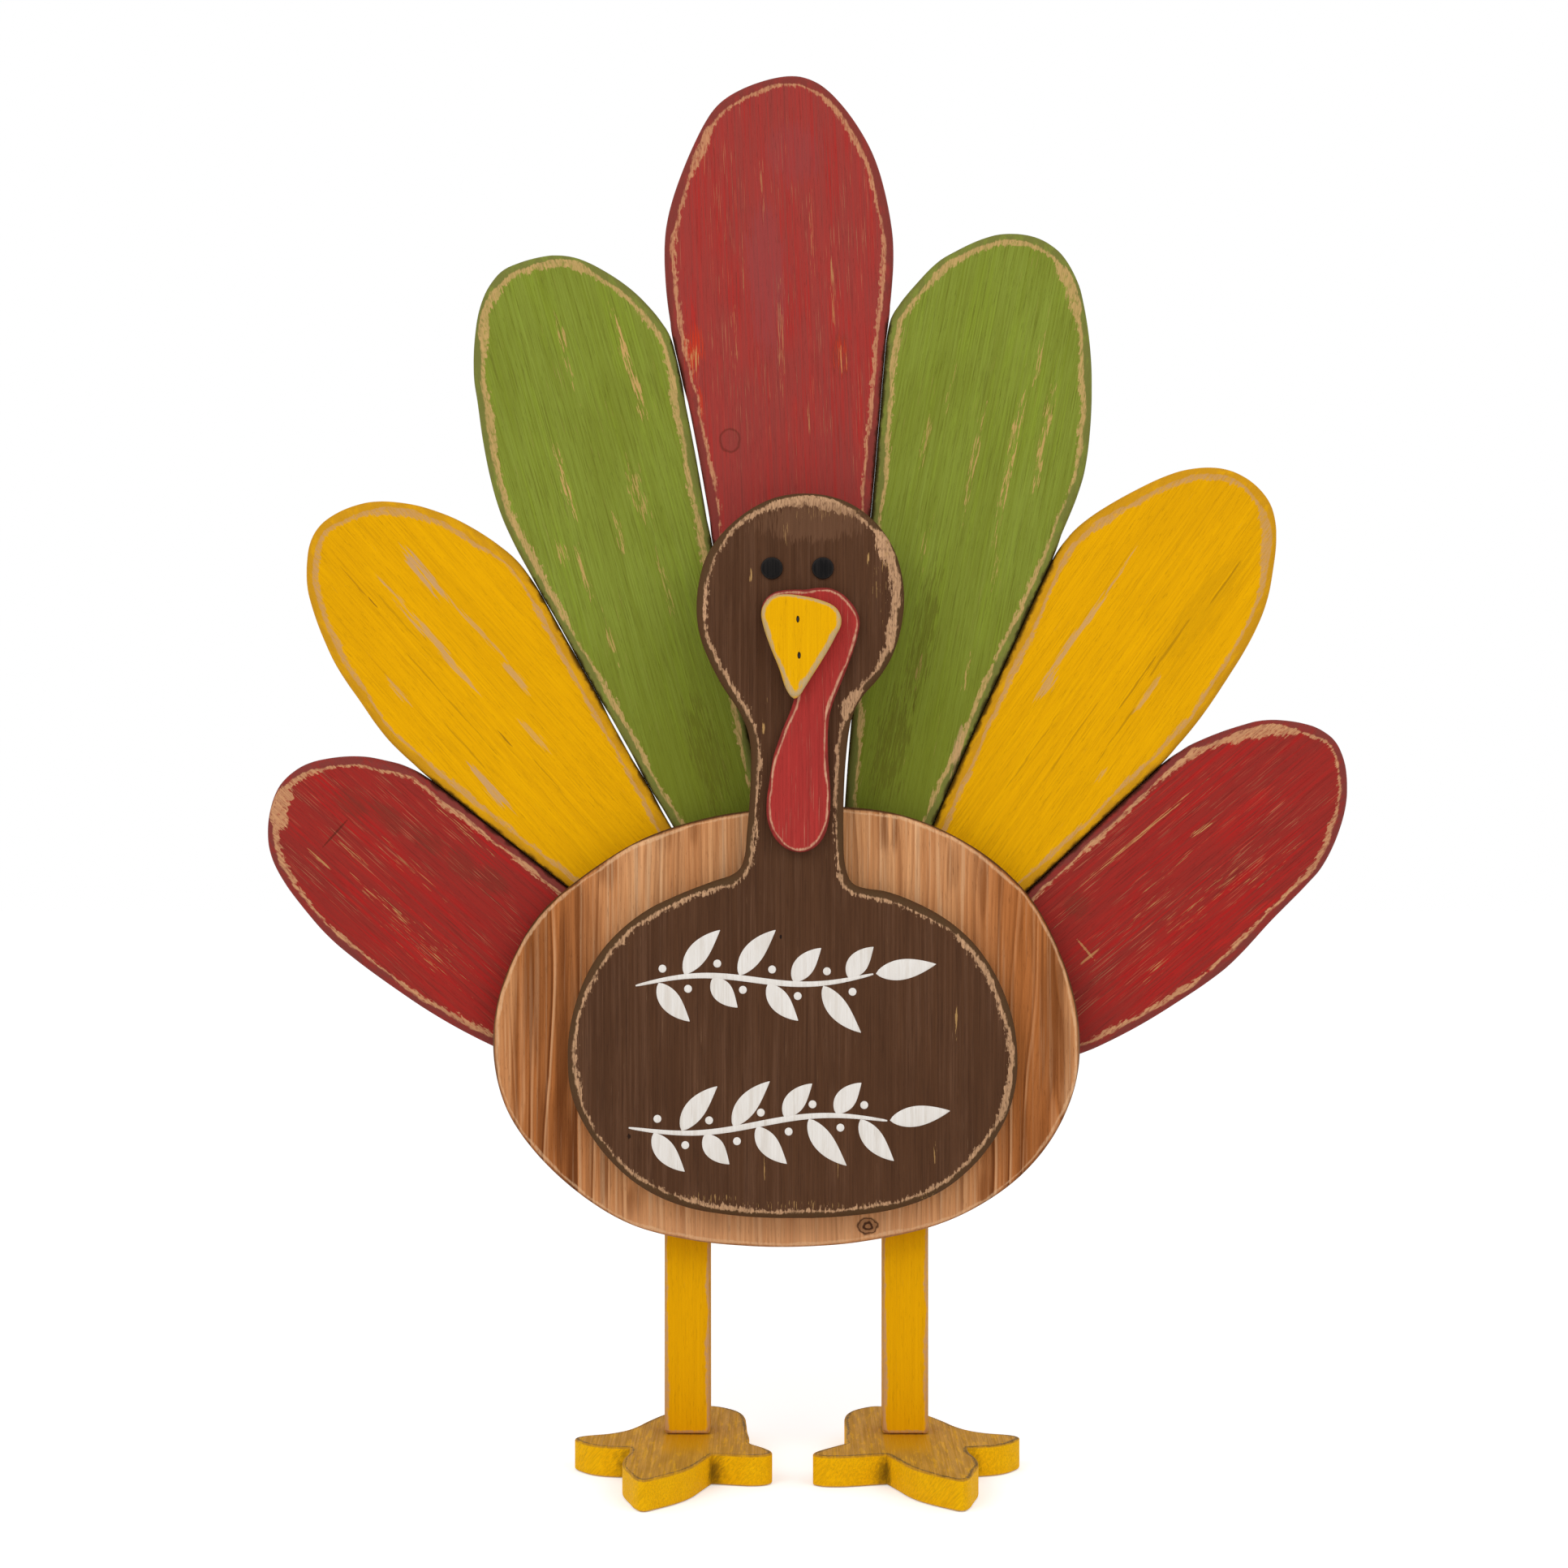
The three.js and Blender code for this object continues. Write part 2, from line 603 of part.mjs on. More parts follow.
// A four-toed foot, cut flat from board, its outer toe on the outside of the figure
function buildFoot(side) {
  const outward = side === 'left' ? -1 : 1;
  const runs = footRunShares.map((run) => {
    const points = run.map(([across, ahead]) => [outward * footAcross(across, side), -ahead * footLength]);
    return smoothRun(points, false);
  });
  const geometry = boardGeometry(shapeFromRuns(runs), footThickness, footRound);
  const foot = piece(`foot_${side}`, geometry, painted(colors.yellow), { ...legPlace(side), z: 0 });
  foot.rotation.z = outward * THREE.MathUtils.degToRad(sides[side].toeOutDegrees);
  return foot;
}

function buildFootScrew(side) {
  const size = screwSize(footThickness + footScrewBite);
  const place = { ...legPlace(side), z: holeClearance };
  return fastener(`foot_${side}_screw`, size, place, -Math.PI / 2);
}

// Moves the contents so that the origin is the bottom centre of their box
function centred(contents) {
  const box = new THREE.Box3();
  for (const mesh of contents.children) {
    mesh.updateMatrixWorld(true);
    box.expandByObject(mesh, true);
  }
  const middle = box.getCenter(new THREE.Vector3());
  contents.position.set(-middle.x, -middle.y, -box.min.z);
  return contents;
}

function buildFigure() {
  const contents = new THREE.Group();
  const tail = feathers.map(buildFeather);
  const featherScrews = tail.flatMap((feather) => feather.screws);
  contents.add(...tail.map((feather) => feather.board), ...featherScrews);

  const disc = buildDisc();
  const headBoard = buildHeadBoard();
  const bellyScrews = buildHeadBoardScrews();
  const wattle = buildWattle();
  const beak = buildBeak();
  const brads = buildBeakBrads();
  drill(headBoard, [...bellyScrews, ...brads]);
  drill(wattle, brads);
  drill(beak, brads);
  contents.add(disc, headBoard, ...bellyScrews, wattle, beak, ...brads, buildEye('left'), buildEye('right'));

  const legScrews = [];
  for (const side of ['left', 'right']) {
    const leg = buildLeg(side);
    const foot = buildFoot(side);
    const screws = buildLegScrews(side);
    const footScrew = buildFootScrew(side);
    drill(leg, [...screws, footScrew]);
    drill(foot, [footScrew]);
    contents.add(leg, foot, ...screws, footScrew);
    legScrews.push(...screws);
  }
  drill(disc, [...featherScrews, ...bellyScrews, ...legScrews]);

  const figure = new THREE.Group();
  figure.add(centred(contents));
  return figure;
}

export default buildFigure();
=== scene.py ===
import bmesh
import bpy
import numpy as np
from mathutils.geometry import delaunay_2d_cdt
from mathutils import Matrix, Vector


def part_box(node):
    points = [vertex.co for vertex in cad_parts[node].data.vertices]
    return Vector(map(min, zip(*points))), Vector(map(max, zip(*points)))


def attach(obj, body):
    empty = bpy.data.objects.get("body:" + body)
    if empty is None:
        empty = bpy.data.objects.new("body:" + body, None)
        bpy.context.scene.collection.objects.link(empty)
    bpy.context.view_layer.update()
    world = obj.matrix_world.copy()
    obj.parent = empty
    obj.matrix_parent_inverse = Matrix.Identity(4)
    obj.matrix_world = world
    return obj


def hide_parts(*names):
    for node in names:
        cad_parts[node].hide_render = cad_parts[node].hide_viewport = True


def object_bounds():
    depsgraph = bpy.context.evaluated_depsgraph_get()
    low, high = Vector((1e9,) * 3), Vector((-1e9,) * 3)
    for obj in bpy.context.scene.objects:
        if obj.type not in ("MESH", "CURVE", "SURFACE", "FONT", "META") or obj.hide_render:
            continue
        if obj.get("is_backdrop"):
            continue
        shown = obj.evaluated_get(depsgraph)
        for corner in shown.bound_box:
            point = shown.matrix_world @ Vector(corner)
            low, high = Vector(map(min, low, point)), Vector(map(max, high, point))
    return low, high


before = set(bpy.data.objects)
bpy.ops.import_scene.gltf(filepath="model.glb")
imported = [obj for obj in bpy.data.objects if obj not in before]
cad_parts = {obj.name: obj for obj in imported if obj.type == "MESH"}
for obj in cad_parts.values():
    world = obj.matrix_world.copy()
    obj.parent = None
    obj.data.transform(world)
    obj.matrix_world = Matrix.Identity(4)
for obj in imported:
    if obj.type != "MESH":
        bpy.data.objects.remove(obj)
cad_low, cad_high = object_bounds()


# The body disc is one oval of pine board, 15.5 mm thick. It is sawn out, rounded over at both edges, stained
# brown and rubbed back, so that its growth rings show as upright bands. The feathers, the legs and the belly
# are screwed to it.

MM = 0.001
# An upright board's thickness lies along y, axis 1, and that of a board flat on the floor along z, axis 2.
UPRIGHT, FLAT = 1, 2
LEVEL_SLACK, NET_SLACK, MERGE, THIN = 0.03, 1e-5, 2e-6, 1e-7
CLEAR_SHARE, CLEAR_SLACK, NO_INSET = 0.98, 0.02, 0.05
LINE_STEP, GRID_STEP, HOLE_CLEAR = 2.0, 5.5, 1.0
INNER_LINES = (0.8, 1.8, 3.2, 5.2, 8.0, 12.0)
SHARP_TURN = 35.0
ROUND_STEPS, WALL_STEPS, HOLE_STEPS = 7, 4, 28
WAVE_LENGTHS, WAVE_HEIGHTS, WAVE_SHARE = (70, 31, 13), (0.5, 0.3, 0.2), 0.16
SCREW_PIT = ((4.3, 4.3, 0.0), (4.3, 4.3, 0.7), (2.4, 2.4, 2.7), (2.4, 2.4, 6.0), (0.0, 0.0, 6.0))
DEEP_IN = 20.0


def sawn_line(node, through, level):
    """The corners, in order and in mm, of the line that the saw followed round a board.

    They are the CAD node's points at the given level of its thickness. Each edge of the wall leads from one
    point to the next. The order comes from doubling, again and again, how far each point looks ahead.
    """
    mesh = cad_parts[node].data
    loose = np.empty(len(mesh.vertices) * 3)
    mesh.vertices.foreach_get("co", loose)
    corners = np.empty(len(mesh.loops), dtype=int)
    mesh.loops.foreach_get("vertex_index", corners)
    points, merged = np.unique(np.round(loose.reshape(-1, 3) / MM, 3), axis=0, return_inverse=True)
    triangles = merged.ravel()[corners].reshape(-1, 3)
    sides = np.concatenate([np.roll(triangles, -turn, axis=1) for turn in range(3)])
    height = points[:, through]
    near = np.abs(height - level) < LEVEL_SLACK
    wall = near[sides[:, 0]] & near[sides[:, 1]] & (height[sides[:, 2]] > level + LEVEL_SLACK)
    here, ahead = sides[wall, 0], sides[wall, 1]
    following = np.arange(len(points))
    following[here] = ahead
    first = here[np.argmax(points[here, 0])]
    last = here[ahead == first][0]
    following[last] = last
    steps = (np.arange(len(points)) != last).astype(int)
    for _ in range(int(np.log2(len(points))) + 2):
        steps = steps + steps[following]
        following = following[following]
    line = np.flatnonzero(following == last)
    line = line[np.argsort(-steps[line])]
    flat = points[line][:, [axis for axis in range(3) if axis != through]]
    around = flat[:, 0] * np.roll(flat[:, 1], -1) - flat[:, 1] * np.roll(flat[:, 0], -1)
    return flat if around.sum() > 0 else flat[::-1]


def smooth_line(corners, spacing):
    """A closed line through the corners with a point at about every spacing mm, bent as a saw blade turns.

    Between two corners it is Hermite's cubic. The slope at a corner is the mean of the slopes of its two
    sides, each weighted by the length of the other. At a sharp turn each side keeps its own slope.
    """
    step = np.roll(corners, -1, axis=0) - corners
    length = np.linalg.norm(step, axis=1)
    slope = step / length[:, None]
    slope_before, length_before = np.roll(slope, 1, axis=0), np.roll(length, 1)
    weighted = slope_before * length[:, None] + slope * length_before[:, None]
    mean = weighted / (length + length_before)[:, None]
    turn = np.degrees(np.arccos(np.clip((slope * slope_before).sum(axis=1), -1, 1)))
    sharp = (turn > SHARP_TURN)[:, None]
    leaving = np.where(sharp, slope, mean)
    arriving = np.roll(np.where(sharp, slope_before, mean), -1, axis=0)
    end = np.cumsum(length)
    start = end - length
    count = int(round(end[-1] / spacing))
    at = np.linspace(0, end[-1], count, endpoint=False)
    kept = start[sharp.ravel()]
    at[np.round(kept / end[-1] * count).astype(int) % count] = kept
    side = np.minimum(np.searchsorted(end, at, side="right"), len(corners) - 1)
    t = ((at - start[side]) / length[side])[:, None]
    reach = length[side][:, None]
    first, second = corners[side], np.roll(corners, -1, axis=0)[side]
    return (
        first * (2 * t**3 - 3 * t**2 + 1)
        + second * (3 * t**2 - 2 * t**3)
        + reach * (leaving[side] * (t**3 - 2 * t**2 + t) + arriving[side] * (t**3 - t**2))
    )


def distance_to(line, points):
    """The shortest distance from each point to a closed line of straight sides."""
    along = np.roll(line, -1, axis=0) - line
    out = points[:, None] - line[None]
    share = np.clip((out * along).sum(axis=2) / (along**2).sum(axis=1), 0, 1)
    return np.linalg.norm(out - share[..., None] * along, axis=2).min(axis=1)


def is_inside(line, points):
    """True where a ray from the point crosses the closed line an odd number of times."""
    ahead = np.roll(line, -1, axis=0)
    height = ahead[:, 1] - line[:, 1]
    run = (ahead[:, 0] - line[:, 0]) / np.where(height == 0, 1, height)
    x, level = points[:, :1], points[:, 1:]
    crossed = (line[:, 1] > level) != (ahead[:, 1] > level)
    return (crossed & (x < line[:, 0] + (level - line[:, 1]) * run)).sum(axis=1) % 2 == 1


def moved_in(line, inset):
    """A closed line moved inwards by inset, and which of its points are clear of the other side.

    Each point moves square to the line. Points that come nearer to another part of the line than inset are
    drawn onto the straight way between the clear points before and after them.
    """
    ahead = np.roll(line, -1, axis=0) - np.roll(line, 1, axis=0)
    inward = np.column_stack([-ahead[:, 1], ahead[:, 0]]) / np.linalg.norm(ahead, axis=1)[:, None]
    inset = np.broadcast_to(inset, len(line))
    moved = line + inward * inset[:, None]
    clear = distance_to(line, moved) > inset * CLEAR_SHARE - CLEAR_SLACK
    clear &= is_inside(line, moved) | (inset < NO_INSET)
    if clear.all() or not clear.any():
        return moved, clear
    places = np.arange(len(line))
    drawn = [np.interp(places, places[clear], moved[clear, axis], period=len(line)) for axis in range(2)]
    return np.column_stack(drawn), clear


def filled(border, holes):
    """Points and triangles that fill a closed line and leave out the holes.

    The points lie on lines at growing distances from the border, then on a grid whose every other row is
    moved by half a step, and they keep clear of the holes. A Delaunay net joins them.
    """
    rings = [moved_in(border, depth) for depth in INNER_LINES]
    inner = [moved[clear][:: 1 + place // 2] for place, (moved, clear) in enumerate(rings)]
    low, high = border.min(axis=0), border.max(axis=0)
    across, up = np.meshgrid(np.arange(low[0], high[0], GRID_STEP), np.arange(low[1], high[1], GRID_STEP))
    across[1::2] += GRID_STEP / 2
    grid = np.column_stack([across.ravel(), up.ravel()])
    inner.append(grid[distance_to(border, grid) > INNER_LINES[-1] + GRID_STEP / 2])
    inner = np.concatenate(inner)
    inner = inner[is_inside(border, inner)]
    for hole in holes:
        inner = inner[~is_inside(hole, inner) & (distance_to(hole, inner) > HOLE_CLEAR)]
    loops = [border, *holes]
    ends = np.cumsum([len(loop) for loop in loops])
    faces = [list(range(end - len(loop), end)) for loop, end in zip(loops, ends)]
    points = np.concatenate([*loops, inner])
    net = delaunay_2d_cdt(points.tolist(), [], faces, 1, NET_SLACK)
    points, triangles = np.array([tuple(point) for point in net[0]]), np.array(net[2])
    middles = points[triangles].mean(axis=1)
    for hole in holes:
        outside = ~is_inside(hole, middles)
        triangles, middles = triangles[outside], middles[outside]
    return points, triangles


def slow_wave(count, length, rng):
    """A closed wave between about -1 and 1, the sum of three sines."""
    around = np.arange(count) / count * 2 * np.pi
    turns = np.maximum(np.round(length / np.array(WAVE_LENGTHS)), 1)
    starts = rng.uniform(0, 2 * np.pi, 3)
    sines = np.sin(turns[:, None] * around + starts[:, None])
    return (np.array(WAVE_HEIGHTS)[:, None] * sines).sum(axis=0)


def bands(place):
    """The faces between rows of numbered points, where each row goes once round."""
    beside = np.roll(place, -1, axis=1)
    return np.stack([place[:-1], beside[:-1], beside[1:], place[1:]], axis=-1).reshape(-1, 4)


def hold(mesh, name, values):
    """Stores a value at each point of a mesh."""
    mesh.attributes.new(name, "FLOAT", "POINT").data.foreach_set("value", values)


def box_of(node):
    """The low and the high corner of a CAD node's box, in mm."""
    return [np.array(corner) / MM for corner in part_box(node)]


def board(name, node, line, over, seed, facing=UPRIGHT, back_pits=(), face_pits=()):
    """A flat board with rounded edges as one closed mesh, in the place of a CAD node.

    Its edge is a quarter ellipse, a straight wall and a quarter ellipse, carried round the sawn line. The
    ellipse is over mm high, and as wide as over times one plus a slow wave. A pit is a place and a list of
    half width, half height and depth, and each one of them is an ellipse in it. The attribute ridge_gap is
    the distance in mm to where the rounding starts, and it is negative on the rounding and the wall.
    """
    corner, far_corner = box_of(node)
    low, high = (corner[2], far_corner[2]) if facing == FLAT else (-far_corner[1], -corner[1])
    count = len(line)
    length = np.linalg.norm(np.roll(line, -1, axis=0) - line, axis=1).sum()
    width = over * (1 + WAVE_SHARE * slow_wave(count, length, np.random.default_rng(seed)))
    angle = np.linspace(0, np.pi / 2, ROUND_STEPS)
    wall = np.linspace(low + over, high - over, WALL_STEPS + 2)[1:-1]
    share = np.concatenate([1 - np.cos(angle[::-1]), np.zeros(WALL_STEPS), 1 - np.cos(angle)])
    lower, upper = low + over * (1 - np.sin(angle[::-1])), high - over * (1 - np.sin(angle))
    rings = np.stack([
        np.column_stack([moved_in(line, width * part)[0], np.full(count, level)])
        for part, level in zip(share, np.concatenate([lower, wall, upper]))
    ])
    stride = np.linalg.norm(np.diff(rings, axis=0), axis=2)
    still = np.zeros((1, count))
    from_back = np.concatenate([still, np.cumsum(stride, axis=0)])
    from_face = np.concatenate([np.cumsum(stride[::-1], axis=0)[::-1], still])
    total = rings.size // 3
    points, bored = [rings.reshape(-1, 3)], [np.zeros(total)]
    gaps = [-np.minimum(from_back, from_face).ravel()]
    faces = bands(np.arange(total).reshape(len(rings), count)).tolist()
    around = np.linspace(0, 2 * np.pi, HOLE_STEPS, endpoint=False)
    circle = np.column_stack([np.cos(around), np.sin(around)])
    for ring, level, pits, turned in ((rings[0], low, back_pits, 1), (rings[-1], high, face_pits, -1)):
        holes = [np.array(centre) + circle * np.array(profile[0][:2]) for centre, profile in pits]
        flat, net = filled(ring[:, :2], holes)
        points.append(np.column_stack([flat, np.full(len(flat), level)]))
        gaps.append(distance_to(ring[:, :2], flat))
        bored.append(np.zeros(len(flat)))
        faces += (net[:, ::-turned] + total).tolist()
        total += len(flat)
        for centre, profile in pits:
            shrunk = np.array(profile)
            rows = np.array(centre) + circle[None] * shrunk[:, None, :2]
            depth = level + turned * shrunk[:, 2]
            sunk = np.broadcast_to(depth[:, None, None], (len(shrunk), HOLE_STEPS, 1))
            points.append(np.concatenate([rows, sunk], axis=2).reshape(-1, 3))
            gaps.append(np.full(len(shrunk) * HOLE_STEPS, DEEP_IN))
            bored.append(np.repeat((shrunk[:, 2] > 0).astype(float), HOLE_STEPS))
            faces += bands(np.arange(len(gaps[-1])).reshape(-1, HOLE_STEPS) + total).tolist()
            total += len(gaps[-1])
    points = np.concatenate(points)
    if facing == UPRIGHT:
        points = np.column_stack([points[:, 0], -points[:, 2], points[:, 1]])
    mesh = bpy.data.meshes.new(name)
    mesh.from_pydata((points * MM).tolist(), [], faces)
    hold(mesh, "ridge_gap", np.concatenate(gaps))
    hold(mesh, "bored", np.concatenate(bored))
    return closed(name, mesh)


def closed(name, mesh):
    """An object with the mesh, its doubled points merged, its faces pointing out and its shading smooth."""
    shell = bmesh.new()
    shell.from_mesh(mesh)
    bmesh.ops.remove_doubles(shell, verts=shell.verts, dist=MERGE)
    bmesh.ops.dissolve_degenerate(shell, edges=shell.edges, dist=THIN)
    bmesh.ops.recalc_face_normals(shell, faces=shell.faces)
    shell.to_mesh(mesh)
    shell.free()
    mesh.shade_smooth()
    mesh.set_sharp_from_angle(angle=np.radians(SHARP_TURN))
    piece = bpy.data.objects.new(name, mesh)
    bpy.context.scene.collection.objects.link(piece)
    return piece


def stand_for(piece, node, slot, finish):
    """The piece takes the CAD node's place and its finish. The slot it is given is not used."""
    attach(piece, "root")
    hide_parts(node)
    piece.data.materials.append(finish)


def screw_pits(names, facing=UPRIGHT):
    """Countersunk holes at the back of a board for its screws, each at the middle of its screw's box."""
    middles = [sum(box_of(name)) / 2 for name in names]
    return [((middle[0], middle[3 - facing]), SCREW_PIT) for middle in middles]


def saw(node, over, facing=UPRIGHT, step=LINE_STEP):
    """The smooth line that the saw followed round a board, read over mm above its lower side."""
    corners = sawn_line(node, facing, box_of(node)[0][facing] + over)
    return np.clip(smooth_line(corners, step), corners.min(axis=0), corners.max(axis=0))


def colours(codes):
    """Colours as a shader takes them, from their six-figure codes as a screen shows them."""
    parts = [[int(code[place:place + 2], 16) for place in (1, 3, 5)] for code in codes.split()]
    shown = np.array(parts) / 255
    light = np.where(shown <= 0.04045, shown / 12.92, ((shown + 0.055) / 1.055) ** 2.4)
    return [(*row, 1.0) for row in light.tolist()]


class Field:
    """A value, a vector or a colour that changes over a surface. Arithmetic on it adds the nodes for it."""

    def __init__(self, socket):
        self.socket = socket
        self.tree = socket.id_data

    def __add__(self, other):
        return reckon("ADD", self, other)

    def __sub__(self, other):
        return reckon("SUBTRACT", self, other)

    def __mul__(self, other):
        return reckon("MULTIPLY", self, other)

    def __truediv__(self, other):
        return reckon("DIVIDE", self, other)

    def __abs__(self):
        return reckon("ABSOLUTE", self)


def feed(socket, source):
    """Ties a socket to a field, or gives it a plain value."""
    if isinstance(source, Field):
        source.tree.links.new(source.socket, socket)
    else:
        socket.default_value = source


def put(kind, feeds, tree=None, **settings):
    """Adds a node with its settings and feeds its sockets. Gives its outputs as fields."""
    if tree is None:
        tree = next(source.tree for source in feeds.values() if isinstance(source, Field))
    made = tree.nodes.new(kind)
    for name, value in settings.items():
        setattr(made, name, value)
    for name, source in feeds.items():
        feed(made.inputs[name], source)
    return [Field(socket) for socket in made.outputs]


def named(outputs):
    """The same fields, each by its output's name."""
    return {output.socket.name: output for output in outputs}


def reckon(operation, *sources):
    """One step of arithmetic on fields and plain values."""
    return put("ShaderNodeMath", dict(enumerate(sources)), operation=operation)[0]


def reckon_vector(operation, *sources):
    """One step of arithmetic on vectors. Gives a vector and a length."""
    return put("ShaderNodeVectorMath", dict(enumerate(sources)), operation=operation)


def rise(value, start, end, low=0.0, high=1.0):
    """A soft step from low at start to high at end."""
    feeds = {"Value": value, "From Min": start, "From Max": end, "To Min": low, "To Max": high}
    return put("ShaderNodeMapRange", feeds, interpolation_type="SMOOTHSTEP")[0]


def clouds(vector, size, detail=3.0, rough=0.5):
    """A cloudy pattern around one half, with clouds of the given size in mm along x, y and z."""
    feeds = {"Vector": reckon_vector("DIVIDE", vector, size)[0], "Scale": 1.0}
    return put("ShaderNodeTexNoise", {**feeds, "Detail": detail, "Roughness": rough})[0]


def cover(tone, *layers):
    """A colour with layers laid over it in turn, each a share from 0 to 1 and a colour."""
    for share, layer in layers:
        tone = put("ShaderNodeMix", {0: share, 6: tone, 7: layer}, data_type="RGBA")[2]
    return tone


def new_group(name, wants, gives):
    """A node group, its named inputs as fields, each with its usual value, and its named outputs."""
    tree = bpy.data.node_groups.new(name, "ShaderNodeTree")
    kinds = {type(None): "NodeSocketVector", tuple: "NodeSocketColor", float: "NodeSocketFloat"}
    for label, value in wants.items():
        socket = tree.interface.new_socket(label, in_out="INPUT", socket_type=kinds[type(value)])
        if value is not None:
            socket.default_value = value
    for label in gives:
        kind = "NodeSocketColor" if label == "Colour" else "NodeSocketFloat"
        tree.interface.new_socket(label, in_out="OUTPUT", socket_type=kind)
    asked = tree.nodes.new("NodeGroupInput").outputs
    return tree, {label: Field(asked[label]) for label in wants}, tree.nodes.new("NodeGroupOutput").inputs


def use(group, feeds):
    """Places a node group with its own feeds, and gives its named outputs."""
    return named(put("ShaderNodeGroup", feeds, node_tree=group))


def reach_from(vector, centre, share):
    """How far a place lies from a centre, with its x, y and z each weighted by a share."""
    away = reckon_vector("SUBTRACT", vector, centre)[0]
    return reckon_vector("LENGTH", reckon_vector("MULTIPLY", away, share)[0])[1]


# Grain: fine fibres, short open pores and the thin even lines that a planed board shows through paint, all
# drawn out along z.
grain, wants, gives = new_group("wood_grain", {"Vector": None}, ["Fibre", "Pore", "Comb"])
vector = wants["Vector"]
feed(gives["Fibre"], rise(clouds(vector, (0.6, 1.1, 60), 4, 0.65), 0.36, 0.64))
feed(gives["Pore"], rise(clouds(vector, (0.34, 0.7, 6), 2, 0.6), 0.63, 0.71))
across = put("ShaderNodeSeparateXYZ", {0: vector})[0]
sway = clouds(vector, (20, 24, 160), 3) * 9.0
combed = rise(reckon("SINE", across * 3.9 + sway), 0.1, 1.0)
broken = rise(clouds(vector, (2.2, 3, 26), 3, 0.7), 0.42, 0.62)
feed(gives["Comb"], combed * broken)

# Sanded edge: how far a board is rubbed through along the start of its rounding. The band wanders and
# swells, its inner side frays along the grain, and Rim is the rounded edge outside it.
wear, wants, gives = new_group(
    "sanded_edge", {"Vector": None, "Gap": 0.0, "Middle": 0.0, "Width": 1.5, "Fray": 1.0}, ["Worn", "Rim"]
)
vector = wants["Vector"]
centre = (clouds(vector, (18, 18, 18), 2) - 0.5) * 2.4 + wants["Middle"]
off = wants["Gap"] - centre
swell = rise(clouds(vector, (28, 28, 28), 3, 0.6), 0.34, 0.68, 0.5, 1.7)
bristle = clouds(vector, (0.9, 1.2, 7), 3, 0.7) - 0.5
chips = clouds(vector, (1.6, 1.6, 2.6), 3, 0.6) - 0.5
ragged = (bristle + chips) * wants["Fray"] * 4.6 * rise(off, -0.6, 0.6, 0.4, 1.0)
flecks = rise(clouds(vector, (0.8, 0.8, 2.4), 2, 0.5), 0.32, 0.5, 0.4, 1.0)
feed(gives["Worn"], rise(wants["Width"] * swell - abs(off) + ragged, -0.3, 0.45) * flecks)
feed(gives["Rim"], rise(off, 0.3, -0.7))

# Rubbed patch: an oval that thins out to its edge and breaks up into dashes as far as the grit is rough.
rubbed, wants, gives = new_group(
    "rubbed_patch",
    {"Vector": None, "Centre": None, "Share": None, "Grit": 0.5, "Fray": 1.0, "Sparse": 0.0, "Soft": 0.68},
    ["Mask"],
)
inside = rise(reach_from(wants["Vector"], wants["Centre"], wants["Share"]), 1.0, 0.2)
grit = inside * 0.24 + ((wants["Grit"] - 0.5) * wants["Fray"] + 0.5) - wants["Sparse"]
feed(gives["Mask"], rise(grit, 0.61, wants["Soft"]) * rise(inside, 0.0, 0.15))


def patch(vector, grit, centre, reach, fray, soft=0.68):
    """A rubbed patch on a board. Its reach is across the grain and along it in mm. Over 1, fray thins it."""
    share = (1 / reach[0], 0.0, 1 / reach[1])
    sparse = 0.27 * max(fray - 1, 0.0)
    feeds = {"Vector": vector, "Centre": centre, "Share": share, "Grit": grit, "Fray": fray}
    return use(rubbed, {**feeds, "Sparse": sparse, "Soft": soft})["Mask"]


def axes(tree, at=(0, 0, 0), turn=(0, 0, 0)):
    """A place on a board in mm from at, with z along its grain. Turn is about x, y and z, in degrees."""
    feeds = {
        "Vector": named(put("ShaderNodeTexCoord", {}, tree=tree))["Object"],
        "Location": tuple(MM * part for part in at),
        "Rotation": tuple(np.radians(turn).tolist()),
        "Scale": (MM, MM, MM),
    }
    return put("ShaderNodeMapping", feeds, vector_type="TEXTURE")[0]


def new_finish(name, at=(0, 0, 0), turn=(0, 0, 0)):
    """A new material, and the place on a board that it has, as axes gives it."""
    made = bpy.data.materials.new(name)
    made.use_nodes = True
    return made, axes(made.node_tree, at, turn)


def stored(vector, name):
    """A value that the mesh holds at each of its points, in the tree of a vector."""
    return named(put("ShaderNodeAttribute", {}, tree=vector.tree, attribute_name=name))["Fac"]


def dress(made, tone, roughness, relief, depth, shine=0.5, metal=0.0):
    """Gives a material its colour and roughness, and lets a relief from 0 to 1 stand out by depth mm."""
    normal = put("ShaderNodeBump", {"Height": relief, "Distance": depth * MM, "Strength": 1.0})[0]
    shader = made.node_tree.nodes["Principled BSDF"].inputs
    feed(shader["Base Color"], tone)
    feed(shader["Roughness"], roughness)
    feed(shader["Normal"], normal)
    feed(shader["Specular IOR Level"], shine)
    feed(shader["Metallic"], metal)


STAIN_PALE, STAIN_MIDDLE, STAIN_DARK, DISC_RIM_DARK = colours("#ECAE78 #B4682E #6C3814 #4E3018")
STAIN_BARE, STAIN_KNOT, STAIN_PINK = colours("#ECC094 #4A2A18 #DDA070")
DISC_MIDDLE, RING_WIDTH, DISC_KNOT = -9.0, 9.6, (26.0, 0.0, 107.0)
DISC_OVER = 2.5
RUN_WIDER, RUN_LONGER = 1.6, 1.4

